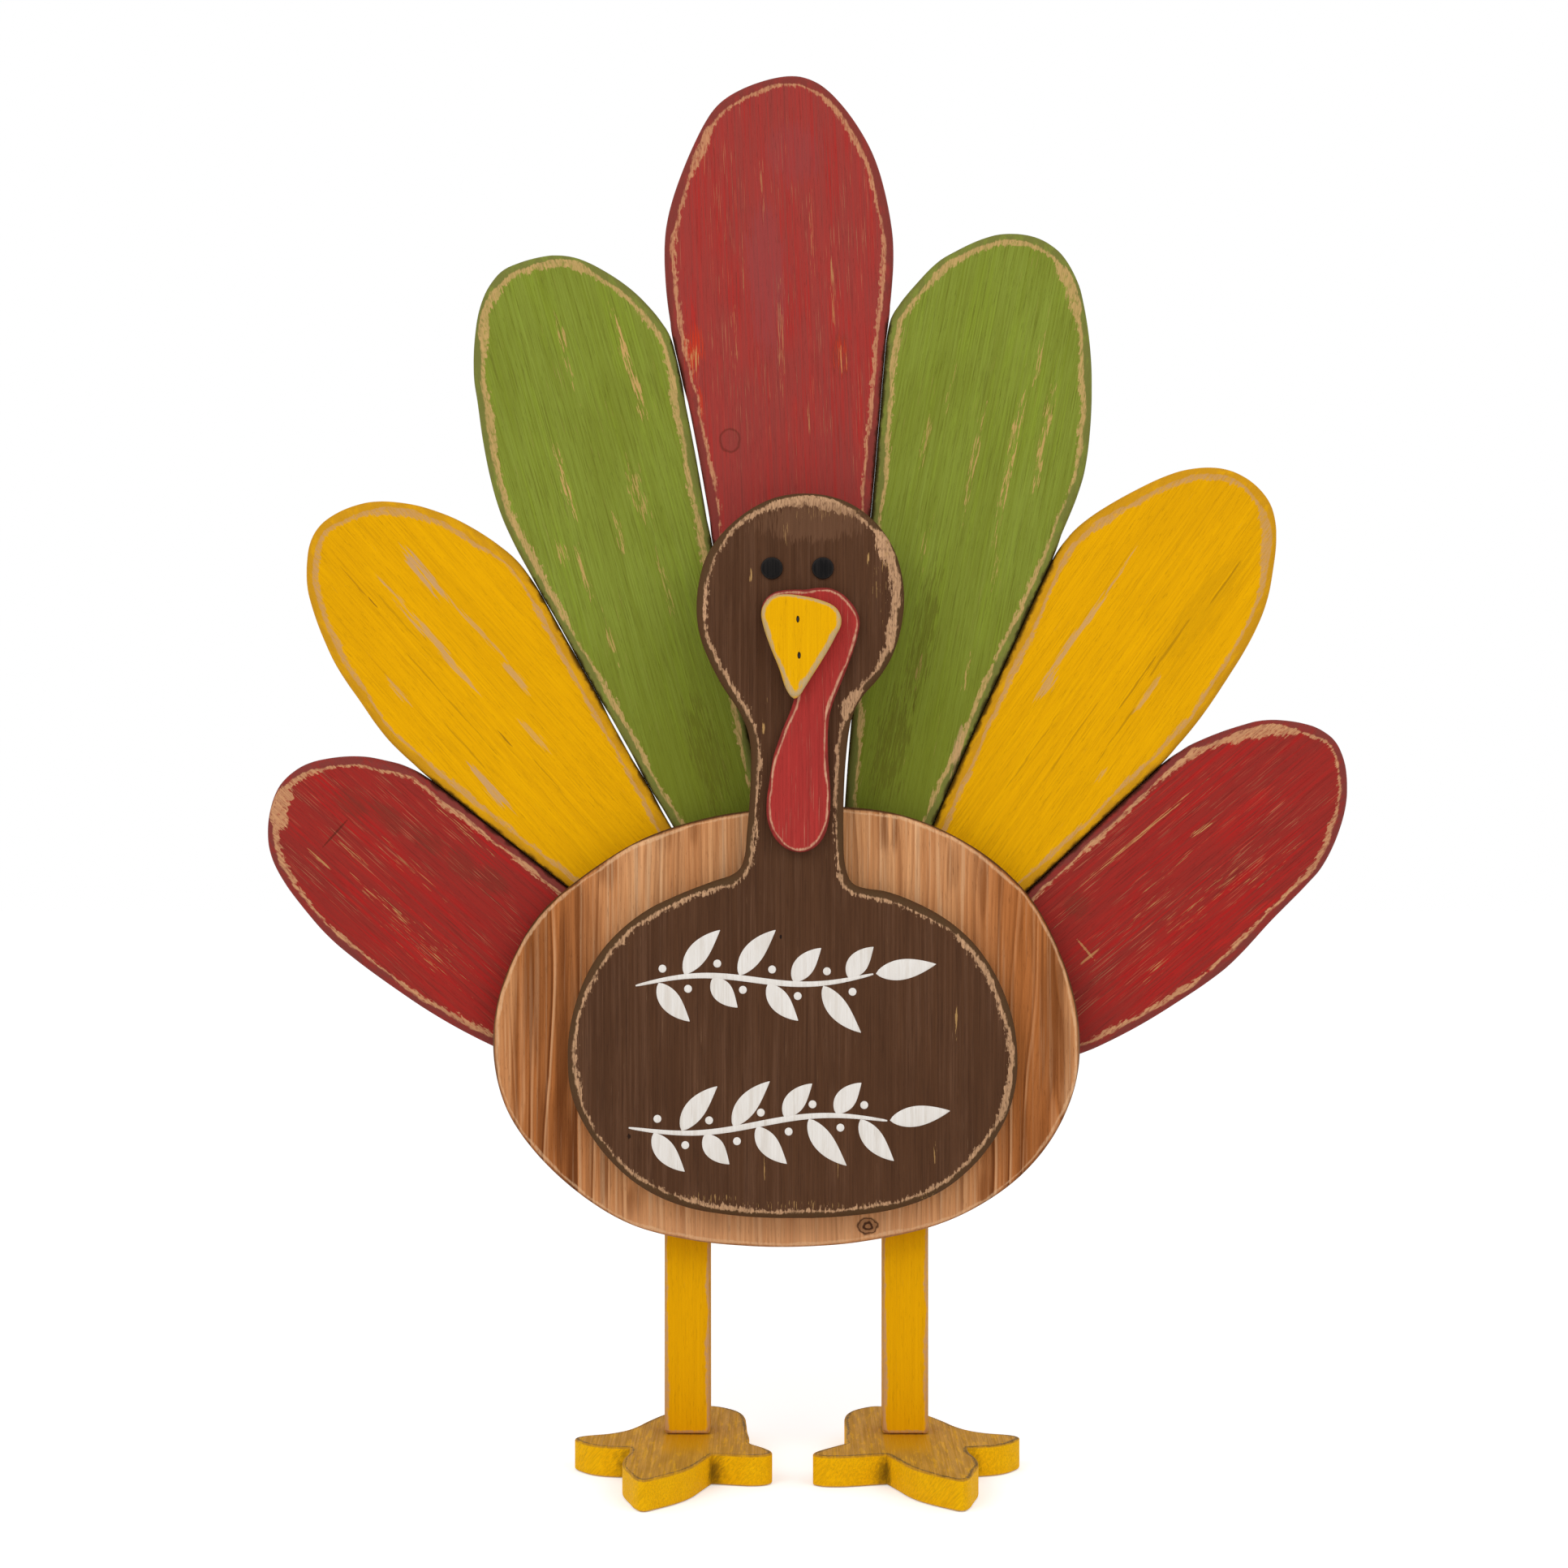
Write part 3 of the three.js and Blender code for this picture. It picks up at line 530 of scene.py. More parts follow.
# Dark runs in the stain: the place in x and z, the reach across and along, and how much each one covers.
STAIN_RUNS = [
    (-118, 215, 7, 50, 0.55), (-107, 190, 4, 62, 0.6), (-97, 232, 9, 34, 0.55), (-86, 262, 7, 12, 0.5),
    (-112, 150, 9, 26, 0.5), (-90, 128, 6, 16, 0.55), (-76, 117, 3.5, 11, 0.6), (-62, 277, 5, 14, 0.6),
    (-50, 280, 2.5, 12, 0.45), (-70, 262, 3, 20, 0.35), (35, 279, 4.5, 14, 0.65), (49, 273, 2.5, 14, 0.5),
    (63, 262, 3.5, 14, 0.4), (76, 255, 3, 18, 0.45), (94, 232, 5, 30, 0.5), (105, 200, 6, 52, 0.65),
    (113, 178, 2.5, 30, 0.4), (96, 140, 8, 26, 0.5), (78, 120, 5, 14, 0.35), (-38, 108, 6, 7, 0.3),
]

stained, spot = new_finish("stained_pine")
fibres = use(grain, {"Vector": spot})
apart = named(put("ShaderNodeSeparateXYZ", {0: spot}))
ring_place = apart["X"] / RING_WIDTH + clouds(spot, (30, 40, 240), 2) * 3.2
ring, fine = reckon("FRACT", ring_place), reckon("FRACT", ring_place * 4.0)
late = rise(ring, 0.2, 0.95) * rise(ring, 1.0, 0.96)
dark_ring = rise(ring, 0.8, 0.93) * rise(ring, 1.0, 0.97)
pale_ring = rise(ring, 0.0, 0.03) * rise(ring, 0.2, 0.07)
late_fine = rise(fine, 0.3, 0.9) * rise(fine, 1.0, 0.9)
outward = abs(apart["X"] - DISC_MIDDLE)
wobble = clouds(spot, (7, 9, 90), 3, 0.6) * 30.0 + outward
flank = rise(outward, 60, 104) * rise(wobble, 137, 129, 0.05, 1.0)
patchy = rise(clouds(spot, (26, 30, 130), 3, 0.6), 0.36, 0.64)
streaks = rise(clouds(spot, (3.2, 5, 120), 4, 0.65), 0.38, 0.66)
strong = rise(clouds(spot, (40, 40, 160), 2), 0.36, 0.58, 0.25, 0.95) * rise(flank, 0, 1, 0.3, 1.0)
grit = clouds(spot, (2.6, 6, 130), 4, 0.6)
runs = [
    (patch(spot, grit, (x, 0, z), (across * RUN_WIDER, along * RUN_LONGER), 0.75, 0.8) * amount, STAIN_DARK)
    for x, z, across, along, amount in STAIN_RUNS
]
burnt = rise(clouds(spot, (4, 7, 150), 3, 0.6), 0.52, 0.7)
pale = rise(clouds(spot, (2.0, 4, 110), 3, 0.6), 0.52, 0.66)
gap = stored(spot, "ridge_gap")
edge = use(wear, {"Vector": spot, "Gap": gap, "Middle": -0.9, "Width": 0.6, "Fray": 0.2})
# The rounded edge takes a dark colour, more of it towards the top of the disc.
rim = rise(gap, -1.3, -2.6) * rise(apart["Z"], 120, 220, 0.45, 0.95)
from_knot = reach_from(spot, DISC_KNOT, (1.0, 0.0, 1.15)) + clouds(spot, (2.5, 9, 2.5), 2) * 2.4
knot_rings = rise(reckon("SINE", from_knot * 2.6), -0.4, 0.8, 0.45, 1.0)
tone = cover(
    STAIN_PALE,
    (patchy * 0.38, STAIN_MIDDLE), (flank * 0.85, STAIN_MIDDLE), (streaks * 0.42, STAIN_MIDDLE),
    (late * strong * 0.5, STAIN_DARK), (dark_ring * strong, STAIN_DARK),
    (pale_ring * strong * 0.48, STAIN_BARE), (late_fine * 0.2, STAIN_DARK), *runs,
    (burnt * rise(flank, 0, 1, 0.3, 0.6), STAIN_DARK),
    (pale * rise(flank, 0, 1, 0.42, 0.14), STAIN_BARE), (rise(apart["Z"], 122, 104) * 0.5, STAIN_PINK),
    (fibres["Fibre"] * 0.2, STAIN_DARK), (fibres["Pore"] * 0.3, STAIN_DARK), (rim, DISC_RIM_DARK),
    (edge["Worn"] * 0.45, STAIN_BARE), (rise(from_knot, 6.4, 5.0) * knot_rings, STAIN_KNOT),
)
relief = fibres["Fibre"] - late * 0.6 - fibres["Pore"] * 1.2
dress(stained, tone, rise(fibres["Fibre"], 0, 1, 0.5, 0.66), relief, 0.07, shine=0.08)

BELLY_SCREWS = ["belly_screw_1", "belly_screw_2", "belly_screw_3", "belly_screw_4"]
pits = screw_pits(BELLY_SCREWS)
disc = board("stained_disc", "body_disc", saw("body_disc", DISC_OVER), DISC_OVER, 11, back_pits=pits)
stand_for(disc, "body_disc", "stained_wood", stained)


# The seven tail feathers are 12 mm boards, fanned edge to edge behind the disc. Each is painted, sanded
# through where its face meets the rounded edge, and wiped with a dark glaze that stays on the edge.

FAN_CENTRE = (6.08, 0.0, 166.07)
WHITE = (1.0, 1.0, 1.0, 1.0)
LOOK_COLOURS = ("Paint", "Fresh", "Deep", "Rim", "Bare", "Ink")
LOOK_SIZES = ("Middle", "Width", "Fray", "Scratches", "Streaks", "Lines")

scratches, wants, gives = new_group("scratches", {"Vector": None, "Amount": 0.5}, ["Mask"])
thin = clouds(wants["Vector"], (0.36, 1.0, 20), 2, 0.5) - rise(wants["Amount"], 0, 1, 0.72, 0.56)
where = rise(clouds(wants["Vector"], (11, 20, 44), 3, 0.65), 0.44, 0.62)
feed(gives["Mask"], rise(thin, 0, 0.05) * where)

aged, wants, gives = new_group(
    "aged_paint",
    {
        "Vector": None, "Gap": 0.0, "Bored": 0.0, "Painted Shade": 0.0,
        **dict.fromkeys(LOOK_COLOURS, WHITE), **dict.fromkeys(LOOK_SIZES, 0.5),
    },
    ["Colour", "Roughness", "Height"],
)
vector = wants["Vector"]
fibres = use(grain, {"Vector": vector})
edge = use(wear, {"Vector": vector, **{name: wants[name] for name in ("Gap", "Middle", "Width", "Fray")}})
scored = use(scratches, {"Vector": vector, "Amount": wants["Scratches"]})["Mask"]
brushed = rise(clouds(vector, (1.5, 3, 120), 5, 0.7), 0.44, 0.6)
pool = rise(clouds(vector, (16, 20, 60), 3, 0.6), 0.4, 0.6, 0.2, 1.0)
broad = rise(clouds(vector, (20, 26, 90), 4, 0.6), 0.4, 0.62)
dull = rise(clouds(vector, (2.4, 4, 90), 4, 0.65), 0.46, 0.64)
hairs = rise(clouds(vector, (0.7, 1, 30), 3, 0.6), 0.55, 0.65)
smears = rise(clouds(vector, (4, 4, 14), 4, 0.65), 0.46, 0.66)
bare = cover(wants["Bare"], (fibres["Fibre"] * 0.35, wants["Rim"]))
worn = edge["Worn"] * rise(fibres["Pore"], 0, 1, 0.92, 0.4)
feed(gives["Colour"], cover(
    wants["Paint"],
    (broad * 0.28, wants["Deep"]), (dull * 0.3, wants["Deep"]),
    (brushed * pool * wants["Streaks"], wants["Fresh"]),
    (fibres["Fibre"] * 0.34, wants["Deep"]), (fibres["Comb"] * 0.3, wants["Deep"]),
    (hairs * wants["Lines"], wants["Ink"]), (fibres["Pore"] * 0.3, wants["Ink"]),
    # Painted shade, laid in the deep colour as far as the finish asks for it.
    (wants["Painted Shade"] * 0.8, wants["Deep"]), (scored * 0.34, wants["Bare"]),
    (edge["Rim"] * 0.88, wants["Rim"]), (edge["Rim"] * smears * 0.5, wants["Paint"]),
    (worn, bare), (wants["Bored"], wants["Bare"]),
))
feed(gives["Roughness"], rise(fibres["Fibre"], 0, 1, 0.5, 0.66) + edge["Worn"] * 0.15)
raised = (fibres["Fibre"] - scored - fibres["Comb"] - fibres["Pore"]) * 0.5
feed(gives["Height"], raised - edge["Worn"] * 0.6)


def look(codes, *sizes):
    """How a painted board looks.

    The colours are those of the paint, its fresh streaks, its dull parts, the rounded edge, the bare wood
    and the dark lines. The sizes are the middle and the width of the sanded band in mm, how frayed it is,
    and how strong the scratches, the fresh streaks and the dark lines are.
    """
    return {**dict(zip(LOOK_COLOURS, colours(codes))), **dict(zip(LOOK_SIZES, sizes))}


def on_board(x, z, at, lean):
    """A place of the figure, x and z in mm, as the board sees it: across its grain and along it."""
    x, z, angle = x - at[0], z - at[2], np.radians(lean)
    return (x * np.cos(angle) - z * np.sin(angle), 0.0, x * np.sin(angle) + z * np.cos(angle))


FINE_GRIT, LONG_GRIT, SOFT_GRIT = (0.6, 1.5, 8), (0.44, 1.2, 13), (1.1, 3, 17)
GRIME, SEAM_GLAZE_AND_SHADE = colours("#4A2418 #2C1A0E")


def painted(name, coat, at, lean, marks=(), heavy=(), centre_shade=None, knots=(), grit=FINE_GRIT, seams=False):
    """The finish of a painted, sanded and glazed board whose grain leans by lean degrees.

    Marks come by their colour. Each has a place in x and z, a reach across and along the grain, how much it
    covers and how frayed it is. A heavy place has a place, a reach and how many times wider the sanding is
    there. The argument after heavy is painted shade towards the fan's centre: how far along the grain it
    begins, where it is full, and how dark it is. A knot has a place and a radius, and shows through the
    paint as a thin dark ring. A board with seams has the attribute beside, and along them it is darkened by
    glazing and by painted shade.
    """
    made, spot = new_finish(name, at, (0, lean, 0))
    rough = clouds(spot, grit, 3, 0.6)
    feeds = {"Vector": spot, "Gap": stored(spot, "ridge_gap"), "Bored": stored(spot, "bored"), **coat}
    for x, z, across, along, times in heavy:
        mask = patch(spot, rough, on_board(x, z, at, lean), (across, along), 0.2)
        feeds["Width"] = mask * coat["Width"] * (times - 1) + feeds["Width"]
    # Painted shade towards the fan's centre, where the disc and the head shade the feathers.
    if centre_shade:
        begin, full, amount = centre_shade
        feeds["Painted Shade"] = rise(named(put("ShaderNodeSeparateXYZ", {0: spot}))["Z"], begin, full) * amount
    paint = use(aged, feeds)
    tone, height = paint["Colour"], paint["Height"]
    for tint, rows in marks:
        for x, z, across, along, amount, fray in rows:
            mask = patch(spot, rough, on_board(x, z, at, lean), (across, along), fray) * amount
            tone = cover(tone, (mask, tint))
            height = height - mask * 0.4
    for x, z, radius in knots:
        away = reach_from(spot, on_board(x, z, at, lean), (1.0, 0.0, 0.85))
        away = away + clouds(spot, (4, 9, 4), 2) * 1.6
        inner, ring = rise(away, radius + 1.2, radius), rise(abs(away - (radius + 0.8)), 0.75, 0.1)
        tone = cover(tone, (inner * 0.3, coat["Deep"]), (ring * 0.45, GRIME))
    # Along the seams lies a dark line, partly glaze and partly painted shade between the boards.
    if seams:
        reach = rise(clouds(axes(made.node_tree), (7, 7, 7), 3, 0.6), 0.34, 0.64, 1.1, 2.6)
        tone = cover(tone, (rise(stored(spot, "beside") / reach, 1.0, 0.3) * 0.85, SEAM_GLAZE_AND_SHADE))
    dress(made, tone, paint["Roughness"], height, 0.08, shine=0.03)
    return made


# Each feather has the lean of its grain, its look and the grain of its rubbed marks.
RED = look("#A02D27 #B61E1E #7C302A #7E3C36 #D09A6E #5E241E", 0.6, 0.8, 0.9, 0.72, 0.75, 0.4)
PALE_RED = look("#A43A34 #B02824 #84403A #7E3A33 #CC9068 #6A2E28", 1.0, 0.78, 0.9, 0.66, 0.65, 0.3)
GREEN = look("#869239 #8A9C30 #6A701C #74743A #C8A268 #565418", 0.8, 0.95, 0.9, 0.42, 0.5, 0.4)
YELLOW = look("#EBAB02 #F2B400 #D09404 #C88E1A #C89860 #96690C", 1.3, 0.95, 0.6, 0.12, 0.4, 0.24)
FEATHERS = {
    "left_red": (-48.0, RED, LONG_GRIT), "left_yellow": (-41.5, YELLOW, SOFT_GRIT),
    "left_green": (-15.5, GREEN, FINE_GRIT), "center_red": (-2.5, PALE_RED, LONG_GRIT),
    "right_green": (11.0, GREEN, FINE_GRIT), "right_yellow": (35.0, YELLOW, SOFT_GRIT),
    "right_red": (50.0, RED, LONG_GRIT),
}
WORN_TAN, WORN_PINK, WORN_ORANGE, STAINED_RED = colours("#CBA064 #C49A70 #C43A20 #6E3428")
BROWN_LINE, DULL_RED, DULL_YELLOW = colours("#A8780C #93484A #CF9606")
BRIGHT_RED, GREEN_GRIME_AND_SHADE = colours("#BC2622 #4E3E14")
MARKS = {
    "center_red": [
        (DULL_RED, [(-18, 521, 15, 60, 0.3, 0.5)]),
        (BRIGHT_RED, [(-50.5, 500, 4, 30, 0.45, 1.2)]),
        (WORN_ORANGE, [(-49.8, 489, 6, 16, 0.75, 1.0)]),
        (WORN_TAN, [(-49, 486, 3.4, 10, 0.75, 1.4)]),
        (STAINED_RED, [(14.6, 487, 7, 16, 0.4, 0.8)]),
        (WORN_ORANGE, [(14.6, 487, 5, 13, 0.6, 1.1)]),
        (WORN_TAN, [(15, 486, 3.6, 10, 0.6, 1.5)]),
        (WORN_ORANGE, [(-46.3, 464, 2.0, 12, 0.6, 1.2)]),
        (WORN_TAN, [
            (11.2, 512, 1.3, 28, 0.5, 1.35), (-11.7, 495, 2.6, 40, 0.35, 1.6),
            (-32, 495, 2.2, 22, 0.35, 1.55), (-28.5, 524, 1.8, 18, 0.35, 1.5), (0.7, 459, 1.4, 12, 0.4, 1.4),
            (2, 540, 2.0, 34, 0.3, 1.6), (-20, 560, 2.0, 24, 0.3, 1.6),
        ]),
        (DULL_RED, [(-6, 575, 22, 22, 0.25, 0.6)]),
    ],
    "left_green": [
        (WORN_TAN, [
            (-79, 484, 2.8, 36, 0.85, 1.3), (-74, 471, 2.0, 16, 0.8, 1.2), (-105, 482, 2.0, 30, 0.6, 1.4),
            (-106, 429, 3.0, 27, 0.8, 1.3), (-98, 391, 2.4, 19, 0.75, 1.3), (-74.4, 426, 6, 22, 0.55, 1.6),
            (-83, 409, 2.4, 15, 0.6, 1.4), (-107.8, 400, 5, 8, 0.6, 1.5), (-86.3, 362, 1.8, 17, 0.6, 1.4),
            (-106.4, 494, 1.4, 7, 0.7, 1.2), (-62, 386, 4, 24, 0.45, 1.7),
        ]),
        # Dark streaks with painted shade, beside the neck.
        (GREEN_GRIME_AND_SHADE, [(-44, 312, 12, 40, 0.3, 1.1)]),
    ],
    "right_green": [
        (WORN_TAN, [
            (89.4, 443, 3.2, 50, 0.8, 1.3), (103.3, 449, 3.0, 36, 0.75, 1.35), (73, 441, 2.4, 36, 0.65, 1.4),
            (52.2, 451, 3.0, 19, 0.5, 1.5), (101.6, 484, 2.2, 20, 0.6, 1.4), (52, 404, 2.6, 17, 0.5, 1.5),
            (70, 348, 1.8, 18, 0.6, 1.5), (82.5, 393, 1.8, 13, 0.5, 1.5), (48.8, 348, 2.0, 12, 0.5, 1.5),
        ]),
        (WORN_PINK, [(66, 315, 3.0, 18, 0.6, 1.0)]),
        (WORN_TAN, [(62, 470, 2.0, 22, 0.35, 1.7)]),
        # Dark streaks with painted shade, beside the head and the neck.
        (GREEN_GRIME_AND_SHADE, [(50, 362, 8, 50, 0.32, 1.1), (37, 316, 12, 40, 0.36, 1.1)]),
    ],
    "left_yellow": [
        (WORN_PINK, [
            (-169, 391, 4.2, 22, 0.8, 0.8), (-141.8, 363, 2.2, 30, 0.5, 1.2),
            (-165.5, 363, 2.8, 40, 0.65, 1.0), (-128, 346, 3.0, 14, 0.6, 1.1),
            (-138.5, 296, 3.2, 19, 0.75, 0.8), (-180, 340, 3.0, 15, 0.5, 1.1),
            (-120.6, 321, 2.6, 16, 0.4, 1.2),
        ]),
        (GRIME, [
            (-197.9, 386, 0.7, 17, 0.3, 1.0), (-190.4, 378, 0.6, 7, 0.6, 0.5),
            (-132.8, 318.5, 0.6, 9, 0.5, 0.7),
        ]),
        (BROWN_LINE, [
            (-150, 315, 0.8, 34, 0.5, 1.1), (-112, 300, 0.8, 30, 0.5, 1.1), (-158, 336, 0.7, 44, 0.5, 1.1),
            (-180, 372, 0.7, 40, 0.5, 1.1),
        ]),
    ],
    "right_yellow": [
        (WORN_PINK, [
            (123.5, 372, 2.2, 44, 0.65, 1.0), (105, 341, 3.4, 12, 0.6, 0.9),
            (149.8, 338.6, 2.0, 20, 0.55, 1.1), (127.8, 302, 2.0, 10, 0.5, 1.1),
        ]),
        (DULL_YELLOW, [(174, 376, 11, 60, 0.5, 1.0)]),
        (BROWN_LINE, [
            (184.6, 389, 0.9, 22, 0.7, 0.9), (146, 345, 0.9, 36, 0.7, 0.9), (116, 318, 0.8, 34, 0.5, 1.0),
            (160, 360, 0.9, 26, 0.6, 0.9), (134, 318, 0.9, 24, 0.6, 0.9), (98, 312, 0.8, 26, 0.5, 1.0),
        ]),
    ],
    "left_red": [
        (STAINED_RED, [
            (-200, 290, 9, 14, 0.4, 0.7), (-184, 284, 7, 16, 0.4, 0.7), (-167, 274, 7, 17, 0.42, 0.7),
            (-151, 263, 8, 16, 0.42, 0.7), (-138, 256, 9, 14, 0.42, 0.7),
        ]),
        (GRIME, [(-207.2, 276.9, 15, 0.9, 0.6, 0.3)]),
        (WORN_TAN, [
            (-201.7, 270, 1.9, 16, 0.6, 1.6), (-215.5, 267, 1.4, 13, 0.6, 1.5),
            (-189.4, 248.5, 3.4, 22, 0.55, 1.9), (-168.4, 228.5, 12, 40, 0.55, 2.3),
            (-153.6, 281, 3.0, 26, 0.6, 1.8), (-175, 262, 6, 34, 0.4, 2.2), (-178, 240, 2.0, 26, 0.6, 1.7),
        ]),
        (BRIGHT_RED, [(-125, 272, 3.4, 16, 0.7, 0.8)]),
    ],
    "right_red": [
        (WORN_TAN, [
            (147, 277, 1.2, 52, 0.6, 1.2), (150, 244.5, 3.6, 20, 0.6, 1.9), (172.7, 279, 2.0, 11, 0.8, 1.5),
            (154, 218, 4, 14, 0.55, 1.9), (203.5, 261.6, 6, 30, 0.5, 2.2), (178, 250, 12, 44, 0.45, 2.3),
            (122, 226, 9, 0.9, 0.5, 0.5), (124, 223, 0.9, 9, 0.5, 0.5),
        ]),
        (STAINED_RED, [(118, 246, 9, 10, 0.45, 0.8)]),
        (BRIGHT_RED, [(192, 288, 4, 30, 0.5, 1.1), (190, 236, 3, 34, 0.6, 1.1)]),
        (WORN_TAN, [(160, 262, 2.0, 34, 0.5, 1.8)]),
    ],
}
HEAVY = {
    "center_red": [(-46, 578, 22, 18, 1.9), (-58, 545, 14, 34, 1.5), (-57, 500, 12, 34, 1.5)],
    "left_green": [(-138, 500, 18, 34, 2.0), (-110, 523, 28, 14, 1.7), (-143, 455, 16, 44, 2.0)],
    "right_green": [(116, 515, 24, 20, 2.0), (62, 527, 20, 16, 1.4), (70, 318, 8, 30, 1.8)],
    "left_yellow": [(-208, 352, 20, 38, 1.4), (-180, 415, 28, 16, 1.4)],
    "right_yellow": [(196, 356, 14, 18, 2.6), (128, 418, 30, 16, 1.5), (194, 402, 18, 34, 1.4)],
    "left_red": [(-230, 288, 15, 19, 3.4)],
    "right_red": [(200, 322, 22, 30, 2.2), (163, 308, 16, 18, 1.8), (230, 302, 20, 18, 1.6)],
}
# Painted shade on the feathers towards the fan's centre, where the head shades the green ones and the disc
# shades the red ones. Each has where it begins along the grain, where it is full, and how dark it is.
PAINTED_SHADE = {
    "left_green": (250, 130, 0.75), "right_green": (250, 130, 0.75),
    "left_red": (140, 88, 0.5), "right_red": (142, 86, 0.5),
}
KNOTS = {"center_red": [(-34, 449.2, 4.3)]}

# Most seams between the feathers close up to a dark line, and a few stretches stay open and show light. Each
# seam has the distance from the fan's centre where it ends, its gap, and its open stretches with their gaps.
SEAMS = {
    ("left_red", "left_yellow"): (228, 0.2, ()),
    ("left_yellow", "left_green"): (260, 0.2, ((128, 140, 1.0), (166, 186, 1.1), (226, 238, 0.5))),
    ("left_green", "center_red"): (342, 0.2, ((254, 306, 1.25),)),
    ("center_red", "right_green"): (344, 0.15, ((112, 164, 2.5),)),
    ("right_green", "right_yellow"): (264, 0.15, ()),
    ("right_yellow", "right_red"): (216, 0.2, ()),
}
SEAM_START, SEAM_END, OPEN_END = 96.0, 12.0, 8.0
SEAM_REACH, SEAM_FADE, SEAM_LEAST, SEAM_MOST = 13.0, 3.0, -0.3, 4.2
FEATHER_OVER = 3.5


def feather_line(feather):
    """The sawn line of a feather, moved out to meet the feathers beside it, but not past its own box."""
    line = sawn[feather]
    radius = np.linalg.norm(line - np.array(FAN_CENTRE)[[0, 2]], axis=1)
    growth = np.zeros(len(line))
    for pair, (end, gap, open_parts) in SEAMS.items():
        if feather not in pair:
            continue
        away = distance_to(sawn[pair[pair[0] == feather]], line)
        wanted = np.full(len(line), gap)
        for first, last, width in open_parts:
            stations = [first - OPEN_END, first, last, last + OPEN_END]
            wanted += np.interp(radius, stations, [0, width - gap, width - gap, 0])
        share = np.clip((end - radius) / SEAM_END, 0, 1) * np.clip((radius - SEAM_START) / SEAM_END, 0, 1)
        share *= np.clip((SEAM_REACH - away) / SEAM_FADE, 0, 1)
        growth += share * np.clip((away - wanted) / 2, SEAM_LEAST, SEAM_MOST)
    return np.clip(moved_in(line, -growth)[0], line.min(axis=0), line.max(axis=0))


def hold_beside(piece, others):
    """Stores at each point of a feather how far in mm the nearest of the lines beside it lies."""
    places = np.empty(len(piece.data.vertices) * 3)
    piece.data.vertices.foreach_get("co", places)
    flat = places.reshape(-1, 3)[:, [0, 2]] / MM
    hold(piece.data, "beside", np.min([distance_to(line, flat) for line in others], axis=0))


sawn = {feather: saw("feather_" + feather, FEATHER_OVER) for feather in FEATHERS}
outlines = {feather: feather_line(feather) for feather in FEATHERS}
for place, (feather, (lean, finish, grit)) in enumerate(FEATHERS.items()):
    node = "feather_" + feather
    pits = screw_pits([node + "_screw_1", node + "_screw_2"])
    piece = board(feather + "_board", node, outlines[feather], FEATHER_OVER, 20 + place, back_pits=pits)
    neighbours = [other for other in FEATHERS if (feather, other) in SEAMS or (other, feather) in SEAMS]
    hold_beside(piece, [outlines[other] for other in neighbours])
    paint = painted(
        feather + "_paint", finish, FAN_CENTRE, lean, MARKS[feather], HEAVY[feather], PAINTED_SHADE.get(feather),
        KNOTS.get(feather, ()), grit, seams=True,
    )
    stand_for(piece, node, feather.split("_")[1] + "_paint", paint)


# The head, the neck and the belly are one 13 mm board on the front of the disc. It is painted dark brown and
# sanded to bare wood round its edge, most of all on the right of the head. Four screws hold it from behind.

BROWN = look("#583A27 #664734 #432B1D #553E28 #CCA07A #38241A", -0.2, 0.7, 1.2, 0.2, 0.75, 0.35)
BLACK_PIT, HEAD_PALE = colours("#1A1210 #74523C")
BELLY_OVER = 3.5
BROWN_MARKS = [
    (WORN_TAN, [
        (-9.3, 406, 2.0, 9, 0.6, 1.9), (-24.6, 388, 0.9, 5, 0.7, 1.2), (25.9, 394, 0.9, 5, 0.7, 1.2),
        (-18, 333.5, 0.9, 4, 0.7, 1.2), (-19.4, 322.5, 1.0, 5, 0.7, 1.2), (63.6, 198, 0.9, 11, 0.6, 1.3),
        (-19, 131, 1.4, 13, 0.6, 1.7), (51.7, 121.5, 8, 4.5, 0.5, 2.1), (54.5, 140.5, 0.9, 11, 0.5, 1.6),
        (12.7, 134.5, 0.9, 14, 0.5, 1.7), (-40, 121, 16, 3.5, 0.5, 2.2), (-4, 118, 34, 3, 0.5, 2.2),
        (8, 415, 26, 6, 0.5, 2.1), (32, 392, 9, 28, 0.45, 2.3),
    ]),
    (HEAD_PALE, [(2, 411, 40, 14, 0.5, 0.5)]),
    (BLACK_PIT, [(-11.7, 233, 0.9, 1.6, 0.9, 0.2), (-76.9, 147.3, 1.6, 1.6, 0.8, 0.6)]),
]
BROWN_HEAVY = [
    (35.7, 393, 17, 32, 4.0), (40, 366, 12, 26, 2.8), (21, 332, 15, 13, 3.6), (2, 418, 34, 10, 2.6),
    (-44, 320, 12, 17, 2.1), (72, 224, 20, 30, 2.4), (86, 170, 10, 34, 1.8), (15, 300, 8, 30, 1.8),
]
line = saw("head_and_belly_board", BELLY_OVER)
belly = board("brown_head_and_belly", "head_and_belly_board", line, BELLY_OVER, 41)
brown = painted("brown_board_paint", BROWN, (0, 0, 0), 0, BROWN_MARKS, BROWN_HEAVY)
stand_for(belly, "head_and_belly_board", "brown_paint", brown)


# Two rows of plain leaf sprigs are painted on the belly in off-white. Each stroke is one pull of a round
# brush, thick in its middle and pointed at its end.

SPRIG_STEPS, SPRIG_SECTION, SPRIG_RISE, SPRIG_LIFT = 22, 9, 0.24, 0.01
LEAF, LEAF_WIDTH, LEAF_LEAN, LEAF_CURL, TIP_LEAN, STEM_WAVE = 26.0, 8.58, 63, 22.5, 81, 3.0
BERRY, BERRY_AHEAD, BERRY_OFF = 1.7, 2.08, 5.2
OFF_WHITE, WHITE_SHADE, CHIPPED = colours("#EAE5DF #D2C8BC #A08468")


